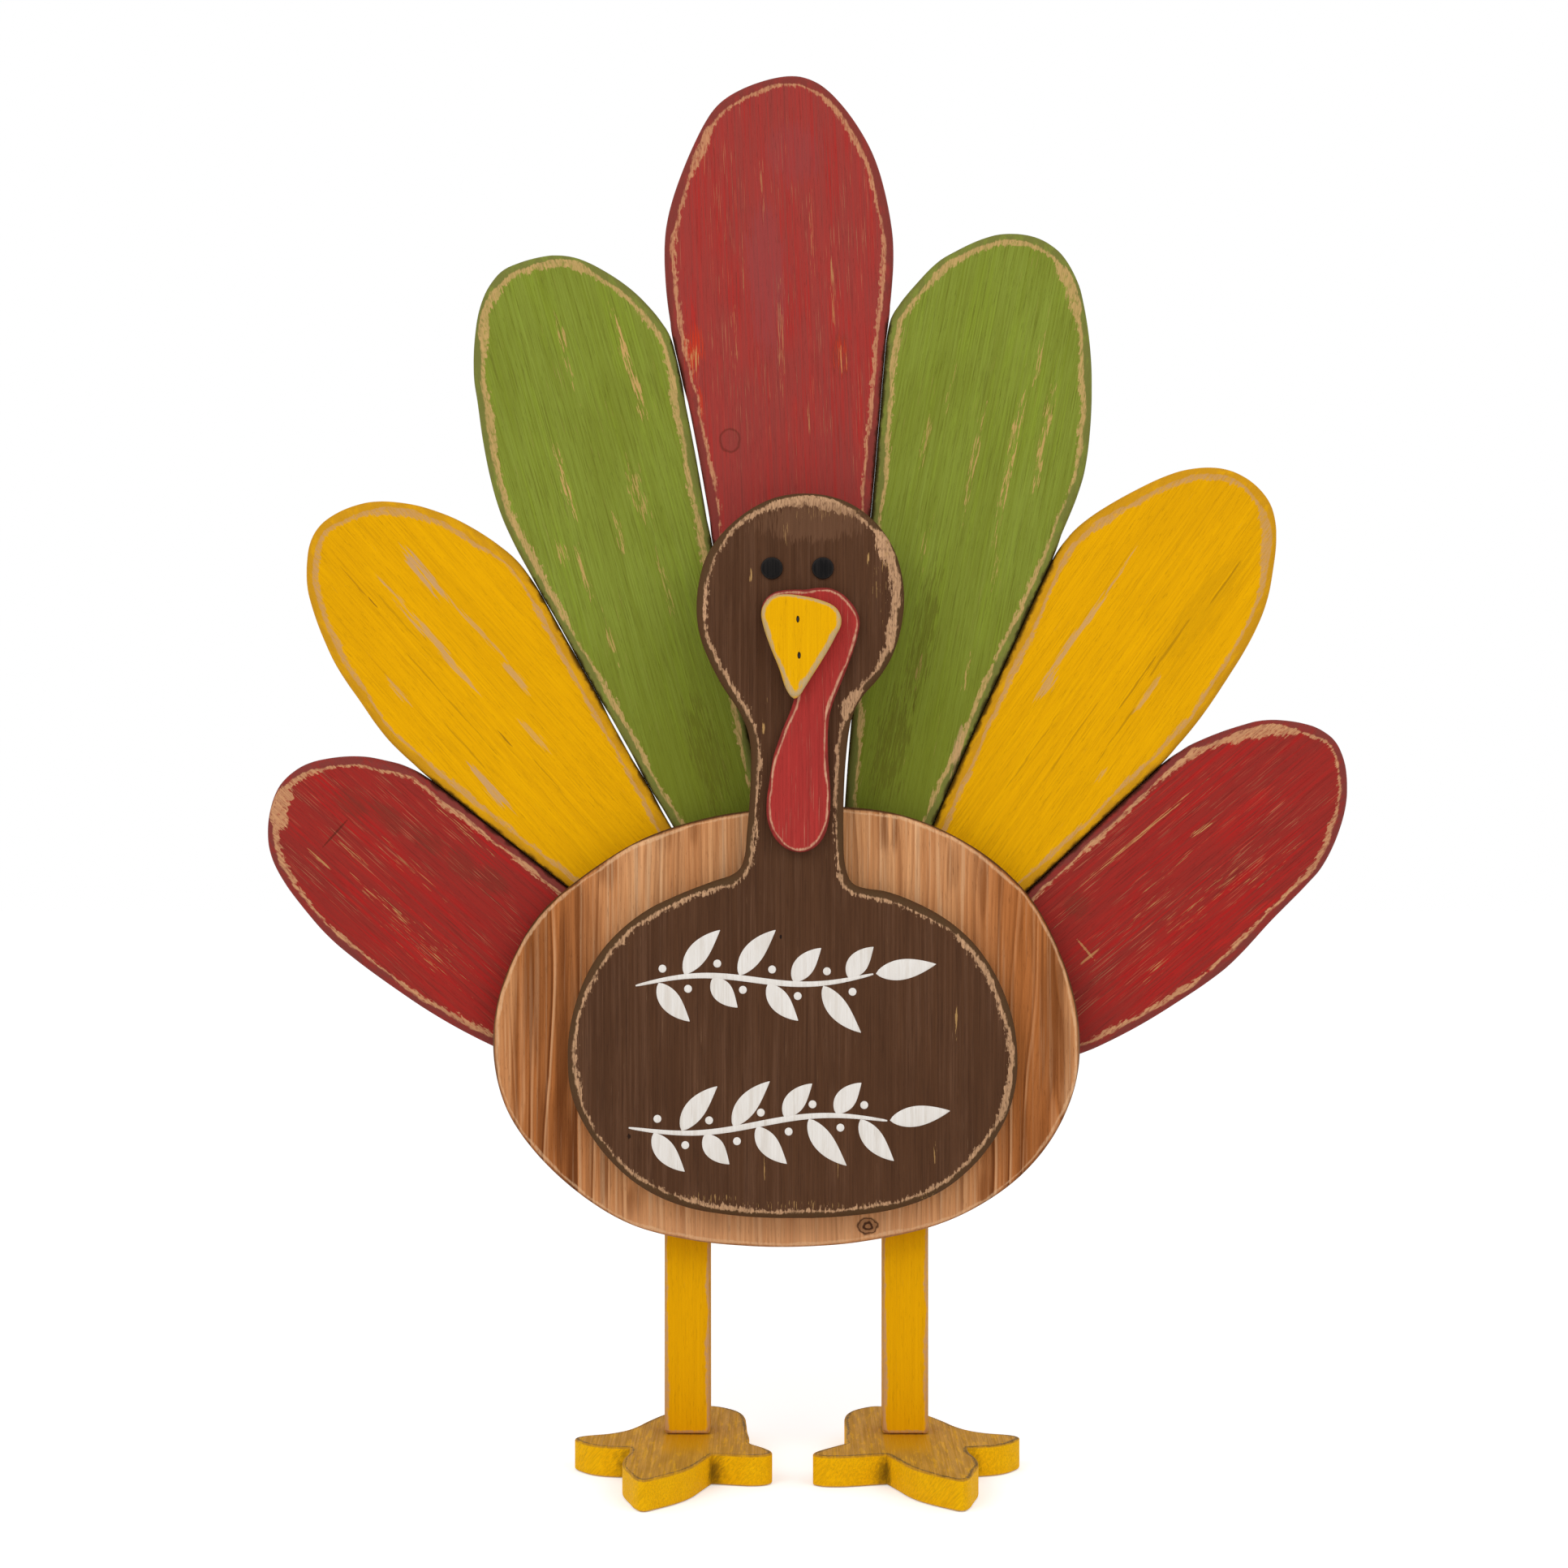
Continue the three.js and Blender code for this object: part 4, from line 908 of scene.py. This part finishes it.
def stroke(path, half_width):
    """The points and faces of one brush stroke, a low rounded bead with a flat underside.

    The path is a row of places in x and z. Across the path the bead is a half ellipse of SPRIG_RISE mm.
    """
    along = np.gradient(path, axis=0)
    side = np.column_stack([-along[:, 1], along[:, 0]]) / np.linalg.norm(along, axis=1)[:, None]
    turn = np.linspace(0, np.pi, SPRIG_SECTION)
    width = half_width[:, None] * np.cos(turn)
    lift = SPRIG_RISE * np.sin(turn) * np.minimum(half_width / 0.6, 1)[:, None]
    flat = path[:, None] + side[:, None] * width[..., None]
    face = belly_face - lift
    points = np.stack([flat[..., 0], face, flat[..., 1]], axis=-1).reshape(-1, 3)
    place = np.arange(len(points)).reshape(len(path), SPRIG_SECTION)
    return points, bands(place).tolist() + [place[0, ::-1].tolist(), place[-1].tolist()]


def leaf(foot, lean, length, curl):
    """A pointed leaf from its foot. It leans by lean degrees from upright and bends over by curl degrees."""
    share = np.linspace(0, 1, SPRIG_STEPS)
    angle = np.radians(lean + curl * share)
    step = length / (SPRIG_STEPS - 1)
    path = np.cumsum(np.column_stack([np.sin(angle), np.cos(angle)]) * step, axis=0) + np.array(foot)
    return path, 0.1 + LEAF_WIDTH / 2 * np.sin(np.pi * share**0.8) ** 0.9


def sprig(first, last, sway, leaves):
    """A gently waving stem from first to last, with leaves by turns on both sides and one at its tip."""
    share = np.linspace(0, 1, 3 * SPRIG_STEPS)
    x = first[0] + (last[0] - first[0]) * share
    z = first[1] + (last[1] - first[1]) * share + sway * np.sin(2 * np.pi * share)
    made = [(np.column_stack([x, z]), 0.3 + 1.0 * np.sin(np.pi * share) ** 0.5)]
    for place in range(leaves):
        at = int((0.1 + 0.8 * place / (leaves - 1)) * (len(x) - 1))
        side = 1 if place % 2 else -1
        size = LEAF * (0.82 + 0.18 * np.sin(place * 2.4))
        made.append(leaf((x[at], z[at]), 90 - LEAF_LEAN * side, size, LEAF_CURL * side))
        made.append(berry((x[at] + BERRY_AHEAD, z[at] - BERRY_OFF * side)))
    made.append(leaf((x[-1], z[-1]), TIP_LEAN, LEAF, 0.0))
    return made


def berry(centre):
    """A round dot of paint."""
    across = np.linspace(-0.995, 0.995, SPRIG_STEPS) * BERRY
    return np.array(centre) + np.column_stack([across, 0 * across]), np.sqrt(BERRY**2 - across**2)


belly_face = box_of("head_and_belly_board")[0][1] - SPRIG_LIFT
strokes = sprig((-74, 212), (28, 217), STEM_WAVE, 8) + sprig((-77, 151), (34, 154), -STEM_WAVE, 9)
points, faces, total = [], [], 0
for path, half_width in strokes:
    bead, sides = stroke(path, half_width)
    points.append(bead)
    faces += [[corner + total for corner in side] for side in sides]
    total += len(bead)
mesh = bpy.data.meshes.new("belly_sprigs")
mesh.from_pydata((np.concatenate(points) * MM).tolist(), [], faces)
sprigs = closed("belly_sprigs", mesh)
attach(sprigs, "root")
white, spot = new_finish("off_white_paint")
fibre = use(grain, {"Vector": spot})["Fibre"]
thinly = rise(clouds(spot, (2.4, 5, 30), 4, 0.65), 0.45, 0.66)
chipped = use(scratches, {"Vector": spot, "Amount": 0.35})["Mask"]
tone = cover(OFF_WHITE, (thinly * 0.5, WHITE_SHADE), (fibre * 0.3, WHITE_SHADE), (chipped * 0.6, CHIPPED))
dress(white, tone, rise(fibre, 0, 1, 0.42, 0.58), fibre, 0.05, shine=0.1)
sprigs.data.materials.append(white)


# The eyes are two thin round dots of wood, each with a low dome. They are glued to the head and painted with
# satin black, which is a little lighter near their rims.

EYE_RINGS, EYE_TURNS, EYE_WAVE_LENGTH, EYE_EDGE = 12, 64, 200, 0.35
EYE_FIT, EYE_SWAY, EYE_LIGHT_REACH = 0.985, 0.015, 0.93
BLACK, BLACK_GREY = colours("#0B0A0A #2A2523")

black, spot = new_finish("satin_black_paint")
fibre = use(grain, {"Vector": spot})["Fibre"]
# Grain in a lighter grey, and a lighter ring near the rim where the mesh holds rubbed.
tone = cover(BLACK, (fibre * 0.4, BLACK_GREY), (stored(spot, "rubbed") * 0.5, BLACK_GREY))
dress(black, tone, rise(fibre, 0, 1, 0.3, 0.5), fibre, 0.05, shine=0.08)


def lathed(name, x, y, z, rubbed_rows):
    """A closed round piece from rows of points about its axis. Its first and last rows are single places."""
    points = np.stack([x, y, z], axis=-1)
    rows, turns = x.shape
    mesh = bpy.data.meshes.new(name)
    faces = bands(np.arange(rows * turns).reshape(rows, turns)).tolist()
    mesh.from_pydata((points.reshape(-1, 3) * MM).tolist(), [], faces)
    hold(mesh, "rubbed", np.repeat(rubbed_rows, turns).astype(float))
    return closed(name, mesh)


turn = np.linspace(0, 2 * np.pi, EYE_TURNS, endpoint=False)
dome = np.sin(np.linspace(0, np.pi / 2, EYE_RINGS))[::-1][1:]
reach = np.concatenate([[0], np.ones(2), dome, [0]])[:, None]
height = np.concatenate([[0, 0, EYE_EDGE], EYE_EDGE + (1 - EYE_EDGE) * (1 - dome**2) ** 0.5, [1]])
for side, seed in (("left", 31), ("right", 32)):
    low, high = box_of("eye_" + side)
    middle, size = (low + high) / 2, high - low
    uneven = slow_wave(EYE_TURNS, EYE_WAVE_LENGTH, np.random.default_rng(seed)) ** 2
    radius = size[0] / 2 * (EYE_FIT - EYE_SWAY * uneven)
    x, z = middle[0] + reach * radius * np.cos(turn), middle[2] + reach * radius * np.sin(turn)
    y = np.broadcast_to(high[1] - size[1] * height[:, None], x.shape)
    eye = lathed(side + "_eye_dot", x, y, z, np.abs(reach[:, 0] - EYE_LIGHT_REACH) < 0.05)
    stand_for(eye, "eye_" + side, "black_paint", black)


# The wattle is a thin red board, glued over the neck and hooked round the beak on the right of the face.
# Only a thin line at its edge is sanded through.

WATTLE = look("#AE3632 #BA3A36 #8E302C #7A2E2A #D8A686 #6E2420", 0.0, 0.42, 0.2, 0.5, 0.6, 0.2)
THIN_OVER, THIN_STEP = 1.4, 1.2
wattle = board("red_wattle", "wattle", saw("wattle", THIN_OVER, step=THIN_STEP), THIN_OVER, 51)
stand_for(wattle, "wattle", "wattle_paint", painted("wattle_red", WATTLE, (0, 0, 0), 0))


# The beak is a thin yellow board, rounded off to a point below. Two brads go through it and the wattle into
# the head, and each leaves a short slot in its face.

BEAK = look("#EDAF02 #F2B604 #DA9C04 #B89A5C #BCA27A #A8760A", -0.35, 0.75, 0.25, 0.1, 0.4, 0.1)
BEAK_HEAVY = [(-4.8, 338, 10, 11, 2.0), (12, 366, 7, 22, 1.5), (4, 378, 14, 5, 1.4)]
BRAD_PIT = ((0.55, 1.45, 0.0), (0.5, 1.35, 0.5), (0.0, 0.0, 0.5))
BRADS = ["beak_brad_1", "beak_brad_2"]
places = [(sum(box_of(brad)) / 2)[[0, 2]] for brad in BRADS]
slots = [(place, BRAD_PIT) for place in places]
beak = board("yellow_beak", "beak", saw("beak", THIN_OVER, step=THIN_STEP), THIN_OVER, 61, face_pits=slots)
dark = [(BLACK_PIT, [(*place, 1.3, 2.7, 0.95, 0.1) for place in places])]
yellow = painted("beak_yellow", BEAK, (0, 0, 0), 0, dark, BEAK_HEAVY)
stand_for(beak, "beak", "beak_paint", yellow)


# Two brads hold the beak. Each is a thin wire nail with a narrow T head, driven in below the paint and
# darkened by the glaze.

BRAD_TURNS, BRAD_TIP, SQUARENESS = 24, 2.2, 4.0
BRAD_DARK, BRAD_BRIGHT, BRAD_RUST = colours("#120F0C #342E27 #2E1C12")

wire, spot = new_finish("darkened_brad_steel", turn=(90, 0, 0))
drawn = rise(clouds(spot, (0.12, 0.12, 3), 3, 0.6), 0.42, 0.62)
rusty = rise(clouds(spot, (0.7, 0.7, 1.2), 3, 0.6), 0.45, 0.65)
rubbed_bright = stored(spot, "rubbed") * 0.3
tone = cover(BRAD_DARK, (drawn * 0.35, BRAD_BRIGHT), (rubbed_bright, BRAD_BRIGHT), (rusty * 0.5, BRAD_RUST))
dress(wire, tone, rise(rusty, 0, 1, 0.45, 0.75), drawn, 0.02, metal=0.3)


def superellipse(half_width, half_height, turn):
    """How far the side of a rounded rectangle lies from its middle in the directions of turn."""
    flat = np.abs(np.cos(turn) / half_width) ** SQUARENESS + np.abs(np.sin(turn) / half_height) ** SQUARENESS
    return flat ** (-1 / SQUARENESS)


turn = np.linspace(0, 2 * np.pi, BRAD_TURNS, endpoint=False)
for brad in BRADS:
    low, high = box_of(brad)
    middle, deep = (low + high) / 2, high[1] - low[1]
    stations = np.array([0, 0, 0.06, 0.7, 1.0, deep - BRAD_TIP, deep, deep])
    widths = np.array([1e-3, 0.38, 0.44, 0.44, 0.44, 0.44, 0.06, 1e-3])
    heights = np.array([1e-3, 0.86, 0.94, 0.94, 0.55, 0.55, 0.5, 1e-3])
    shape = superellipse(widths[:, None], heights[:, None], turn)
    shape[[0, -1]] = 0
    x, z = middle[0] + shape * np.cos(turn), middle[2] + shape * np.sin(turn)
    y = np.broadcast_to((low[1] + stations)[:, None], x.shape)
    stand_for(lathed(brad + "_nail", x, y, z, stations < 0.1), brad, "brad_steel", wire)


# The legs are 20 mm square bars, planed and eased along their edges. Each is screwed to the back of the disc
# with two screws, and stands on its foot.

LEG = look("#EBAA02 #F0B004 #DA9C04 #C08A2A #C6986E #B07C08", -0.5, 0.7, 0.3, 0.15, 0.5, 0.15)
LEG_CORNER, LEG_OVER = 0.5, 1.2


def bar_line(low, high):
    """The upright rectangle of a bar, with its corners cut off by LEG_CORNER mm, as corners in order."""
    across, up = np.array([low[0], high[0]]), np.array([low[2], high[2]])
    x = across[[0, 1, 1, 1, 1, 0, 0, 0]] + LEG_CORNER * np.array([1, -1, 0, 0, -1, 1, 0, 0])
    z = up[[0, 0, 0, 1, 1, 1, 1, 0]] + LEG_CORNER * np.array([0, 0, 1, -1, 0, 0, -1, 1])
    return np.column_stack([x, z])


for side, seed in (("left", 71), ("right", 72)):
    node = "leg_" + side
    low, high = box_of(node)
    line = smooth_line(bar_line(low, high), LINE_STEP)
    pits = screw_pits([node + "_screw_1", node + "_screw_2"])
    bar = board(side + "_leg_bar", node, line, LEG_OVER, seed, back_pits=pits)
    paint = painted(side + "_leg_paint", LEG, ((low[0] + high[0]) / 2, 0, seed), 0)
    stand_for(bar, node, "leg_paint", paint)


# The feet are 13 mm boards sawn to three front toes and a heel. Their edges are yellow, and their tops are
# rubbed down to the tan wood, with a dark line of glaze along the edge. A screw goes up into each leg.

FOOT_YELLOW, FOOT_BRIGHT, FOOT_DEEP, FOOT_STRIP = colours("#F6B808 #FFC80A #D0960A #CC8E08")
FOOT_TAN, FOOT_TAN_DARK, FOOT_EDGE = colours("#CC9430 #96681C #66502C")
FOOT_HOLLOW_DARK, FOOT_BARE = colours("#5E4416 #CBA064")
FOOT_OVER, FOOT_STEP = 0.8, 1.6
HOLLOWS = {"left": ((-76.7, -13.3), (-41.0, -26.0)), "right": ((33.4, -26.5), (68.5, -12.3))}
LEG_FRONT, LEG_HALF = 13.0, 10.0


def foot_finish(name, leg, hollows, seed):
    """Yellow sawn sides, darker in the hollows between the toes, and a top rubbed to tan.

    The top has a dark line along its edge and a strip of yellow in front of the leg.
    """
    made, spot = new_finish(name)
    along = axes(made.node_tree, (0, 0, seed), (90, 0, 0))
    slanted = axes(made.node_tree, (0, 0, seed), (25, 38, 0))
    apart = named(put("ShaderNodeSeparateXYZ", {0: spot}))
    fibre = use(grain, {"Vector": along})["Fibre"]
    rings = rise(clouds(slanted, (0.7, 0.7, 14), 4, 0.65), 0.4, 0.62)
    blotches = rise(clouds(spot, (7, 7, 7), 3, 0.6), 0.4, 0.64)
    hairs = rise(clouds(slanted, (0.4, 0.4, 9), 3, 0.6), 0.56, 0.66)
    side = cover(
        FOOT_YELLOW, (blotches * 0.3, FOOT_BRIGHT), (rings * 0.5, FOOT_DEEP), (hairs * 0.28, FOOT_TAN_DARK),
    )
    # Darker towards each hollow between the toes.
    for x, y in hollows:
        away = reach_from(spot, (x, y, 5.0), (1.0, 1.0, 0.7))
        uneven = clouds(slanted, (1.4, 1.4, 7), 3, 0.6) * 9.0 + away
        side = cover(side, (rise(uneven, 12.5, 5.0) * 0.75, FOOT_HOLLOW_DARK))
    figure = rise(clouds(along, (3, 4, 30), 4, 0.6), 0.38, 0.62)
    traces = rise(clouds(along, (2, 3, 16), 4, 0.65), 0.5, 0.64)
    strip = rise(abs(apart["X"] - leg), LEG_HALF + 0.6, LEG_HALF - 0.8) * rise(apart["Y"], -34, -8)
    strip = strip * rise(apart["Y"], LEG_FRONT + 1, LEG_FRONT - 1)
    rubbed_top = cover(
        FOOT_TAN, (figure * 0.4, FOOT_TAN_DARK), (fibre * 0.35, FOOT_TAN_DARK), (traces * 0.35, FOOT_YELLOW),
        (strip * 0.85, FOOT_STRIP),
    )
    top, under = rise(apart["Z"], 12.1, 12.8), rise(apart["Z"], 0.9, 0.3)
    gap = stored(spot, "ridge_gap")
    worn = use(wear, {"Vector": spot, "Gap": gap, "Middle": 0.35, "Width": 0.5, "Fray": 0.5})["Worn"]
    tone = cover(
        side, (top, rubbed_top), (worn * top * 0.85, FOOT_EDGE), (under * 0.6, FOOT_BARE),
        (stored(spot, "bored"), FOOT_BARE),
    )
    dress(made, tone, rise(fibre, 0, 1, 0.5, 0.68), rings * -0.5 + worn * -0.6 + fibre, 0.08, shine=0.03)
    return made


for side, seed in (("left", 81), ("right", 82)):
    node = "foot_" + side
    pits = screw_pits([node + "_screw"], FLAT)
    line = saw(node, FOOT_OVER, FLAT, FOOT_STEP)
    foot = board(side + "_foot_board", node, line, FOOT_OVER, seed, FLAT, back_pits=pits)
    finish = foot_finish(side + "_foot_paint", pits[0][0][0], HOLLOWS[side], seed)
    stand_for(foot, node, "foot_paint", finish)


# Twenty-four zinc plated wood screws hold the boards: two in each feather and each leg and four in the
# belly, all from behind, and one up through each foot. Each has a countersunk head with a cross recess.

SCREW_TURNS, SCREW_PITCH, THREAD_STEP = 40, 1.8, 0.3
SCREW_HEAD, SCREW_RIM, SCREW_NECK, SCREW_ROOT, SCREW_RIDGE = 3.8, 0.45, 1.85, 1.3, 1.9
HEAD_DEPTH, THREAD_START, TIP_LENGTH = 2.4, 4.0, 4.0
RECESS_HALF, RECESS_REACH, RECESS_DEPTH = 0.5, 2.1, 1.3
ZINC, ZINC_DULL, ZINC_DARK = colours("#B9B6AC #8C8980 #4E4B46")

plated, spot = new_finish("zinc_plated_steel")
cloudy = rise(clouds(spot, (1.6, 1.6, 1.6), 4, 0.6), 0.4, 0.62)
specks = rise(clouds(spot, (0.35, 0.35, 0.35), 2, 0.5), 0.62, 0.7)
brushed = rise(clouds(spot, (0.2, 3, 3), 3, 0.6), 0.42, 0.6)
tone = cover(
    ZINC, (cloudy * 0.6, ZINC_DULL), (brushed * 0.25, ZINC_DULL), (specks * 0.5, ZINC_DARK),
    (stored(spot, "rubbed") * 0.55, ZINC_DARK),
)
dress(plated, tone, rise(cloudy, 0, 1, 0.34, 0.56), brushed + specks, 0.02, metal=0.85)


def screw_rows(length):
    """Rows of distance from the axis and depth below the head, each row once round the screw.

    The recess is a cross. The thread is a ridge that goes once round for each pitch, and fades at the tip.
    """
    turn = np.linspace(0, 2 * np.pi, SCREW_TURNS, endpoint=False)
    arm = np.abs((turn + np.pi / 4) % (np.pi / 2) - np.pi / 4)
    cross = np.minimum(RECESS_REACH, RECESS_HALF / np.maximum(np.sin(arm), 1e-6))
    none, full = np.zeros(SCREW_TURNS), np.ones(SCREW_TURNS)
    depth = np.arange(THREAD_START, length, THREAD_STEP)
    taper = np.clip((length - depth) / TIP_LENGTH, 0, 1)[:, None]
    phase = (depth[:, None] / SCREW_PITCH - turn / (2 * np.pi)) % 1
    begun = np.clip((depth - THREAD_START) / SCREW_PITCH, 0, 1)[:, None]
    ridge = np.clip(1 - np.abs(phase - 0.5) * 4, 0, 1) * begun
    thread = (SCREW_ROOT + (SCREW_RIDGE - SCREW_ROOT) * ridge) * taper**0.7
    reach = np.vstack([
        none, cross * 0.5, cross * 0.9, cross, SCREW_HEAD * 0.95 * full, SCREW_HEAD * full,
        SCREW_HEAD * full, SCREW_NECK * full, SCREW_NECK * full, thread, none,
    ])
    level = [RECESS_DEPTH, RECESS_DEPTH * 0.8, 0.15, 0, 0, 0.08, SCREW_RIM, HEAD_DEPTH, THREAD_START - 0.5]
    return reach, np.concatenate([level, depth, [length]]), turn


screws = [f"feather_{feather}_screw_{count}" for feather in FEATHERS for count in (1, 2)] + BELLY_SCREWS
screws += [f"leg_{side}_screw_{count}" for side in ("left", "right") for count in (1, 2)]
for node in screws + ["foot_left_screw", "foot_right_screw"]:
    low, high = box_of(node)
    middle = (low + high) / 2
    through = FLAT if node.startswith("foot") else UPRIGHT
    reach, level, turn = screw_rows(high[through] - low[through])
    x, other = middle[0] + reach * np.cos(turn), middle[3 - through] + reach * np.sin(turn)
    head = low[2] + level if through == FLAT else high[1] - level
    head = np.broadcast_to(head[:, None], x.shape)
    y, z = (other, head) if through == FLAT else (head, other)
    rubbed_rows = (level > 0.1) & (level <= RECESS_DEPTH) & (np.arange(len(level)) < 3)
    stand_for(lathed(node + "_of_steel", x, y, z, rubbed_rows), node, "screw_steel", plated)


# The floor is a plain pale sheet. The light is an even white sky with two large soft round lamps, in front
# of the figure and above it, one on each side. The camera looks level from about half the figure's height.

FLOOR_HALF, FLOOR_SINK, FLOOR_LIFT = 6.0, 0.0002, 0.34
SKY_LIGHT = 0.8
LAMP_SIZE, LAMP_TILT, LAMP_TURN, LAMP_PLACE = 1.2, 54, 36, (1.1, -1.5, 1.6)
LAMPS = {"left_lamp": (-1, 9.0), "right_lamp": (1, 7.0)}
CAMERA_LENS, CAMERA_SENSOR = 72.24, 36.0
CAMERA_PLACE = (-0.01032, -1.367, 0.2986)

floor_mesh = bpy.data.meshes.new("floor")
places = [(x * FLOOR_HALF, y * FLOOR_HALF, -FLOOR_SINK) for x, y in ((-1, -1), (1, -1), (1, 1), (-1, 1))]
floor_mesh.from_pydata(places, [], [(0, 1, 2, 3)])
floor = bpy.data.objects.new("floor", floor_mesh)
bpy.context.scene.collection.objects.link(floor)
pale = bpy.data.materials.new("pale_floor")
pale.use_nodes = True
shader = pale.node_tree.nodes["Principled BSDF"].inputs
shader["Base Color"].default_value = (0.9, 0.9, 0.9, 1.0)
shader["Roughness"].default_value = 0.9
shader["Specular IOR Level"].default_value = 0.0
shader["Emission Color"].default_value = WHITE
ray = named(put("ShaderNodeLightPath", {}, tree=pale.node_tree))
feed(shader["Emission Strength"], reckon("MAXIMUM", ray["Is Camera Ray"], ray["Is Glossy Ray"]) * FLOOR_LIFT)
floor_mesh.materials.append(pale)
floor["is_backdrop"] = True

world = bpy.data.worlds.new("sky")
bpy.context.scene.world = world
world.use_nodes = True
ray = named(put("ShaderNodeLightPath", {}, tree=world.node_tree))
seen = reckon("MAXIMUM", ray["Is Camera Ray"], ray["Is Glossy Ray"])
seen = reckon("MAXIMUM", seen, ray["Is Transmission Ray"])
sky = world.node_tree.nodes["Background"].inputs
sky["Color"].default_value = WHITE
feed(sky["Strength"], put("ShaderNodeMapRange", {"Value": seen, "To Min": SKY_LIGHT, "To Max": 1.0})[0])

for name, (side, power) in LAMPS.items():
    lamp_data = bpy.data.lights.new(name, "AREA")
    lamp_data.shape = "DISK"
    lamp_data.size = LAMP_SIZE
    lamp_data.energy = power
    lamp = bpy.data.objects.new(name, lamp_data)
    lamp.location = (side * LAMP_PLACE[0], *LAMP_PLACE[1:])
    lamp.rotation_euler = (np.radians(LAMP_TILT), 0, np.radians(LAMP_TURN * side))
    bpy.context.scene.collection.objects.link(lamp)

camera_data = bpy.data.cameras.new("camera")
camera_data.sensor_width = CAMERA_SENSOR
camera_data.lens = CAMERA_LENS
camera = bpy.data.objects.new("camera", camera_data)
camera.location = CAMERA_PLACE
camera.rotation_euler = (np.radians(90), 0, 0)
bpy.context.scene.collection.objects.link(camera)
bpy.context.scene.camera = camera
bpy.context.scene.view_settings.view_transform = "Standard"

low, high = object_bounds()
size = {"cad": [list(cad_low), list(cad_high)], "visual": [list(low), list(high)]}
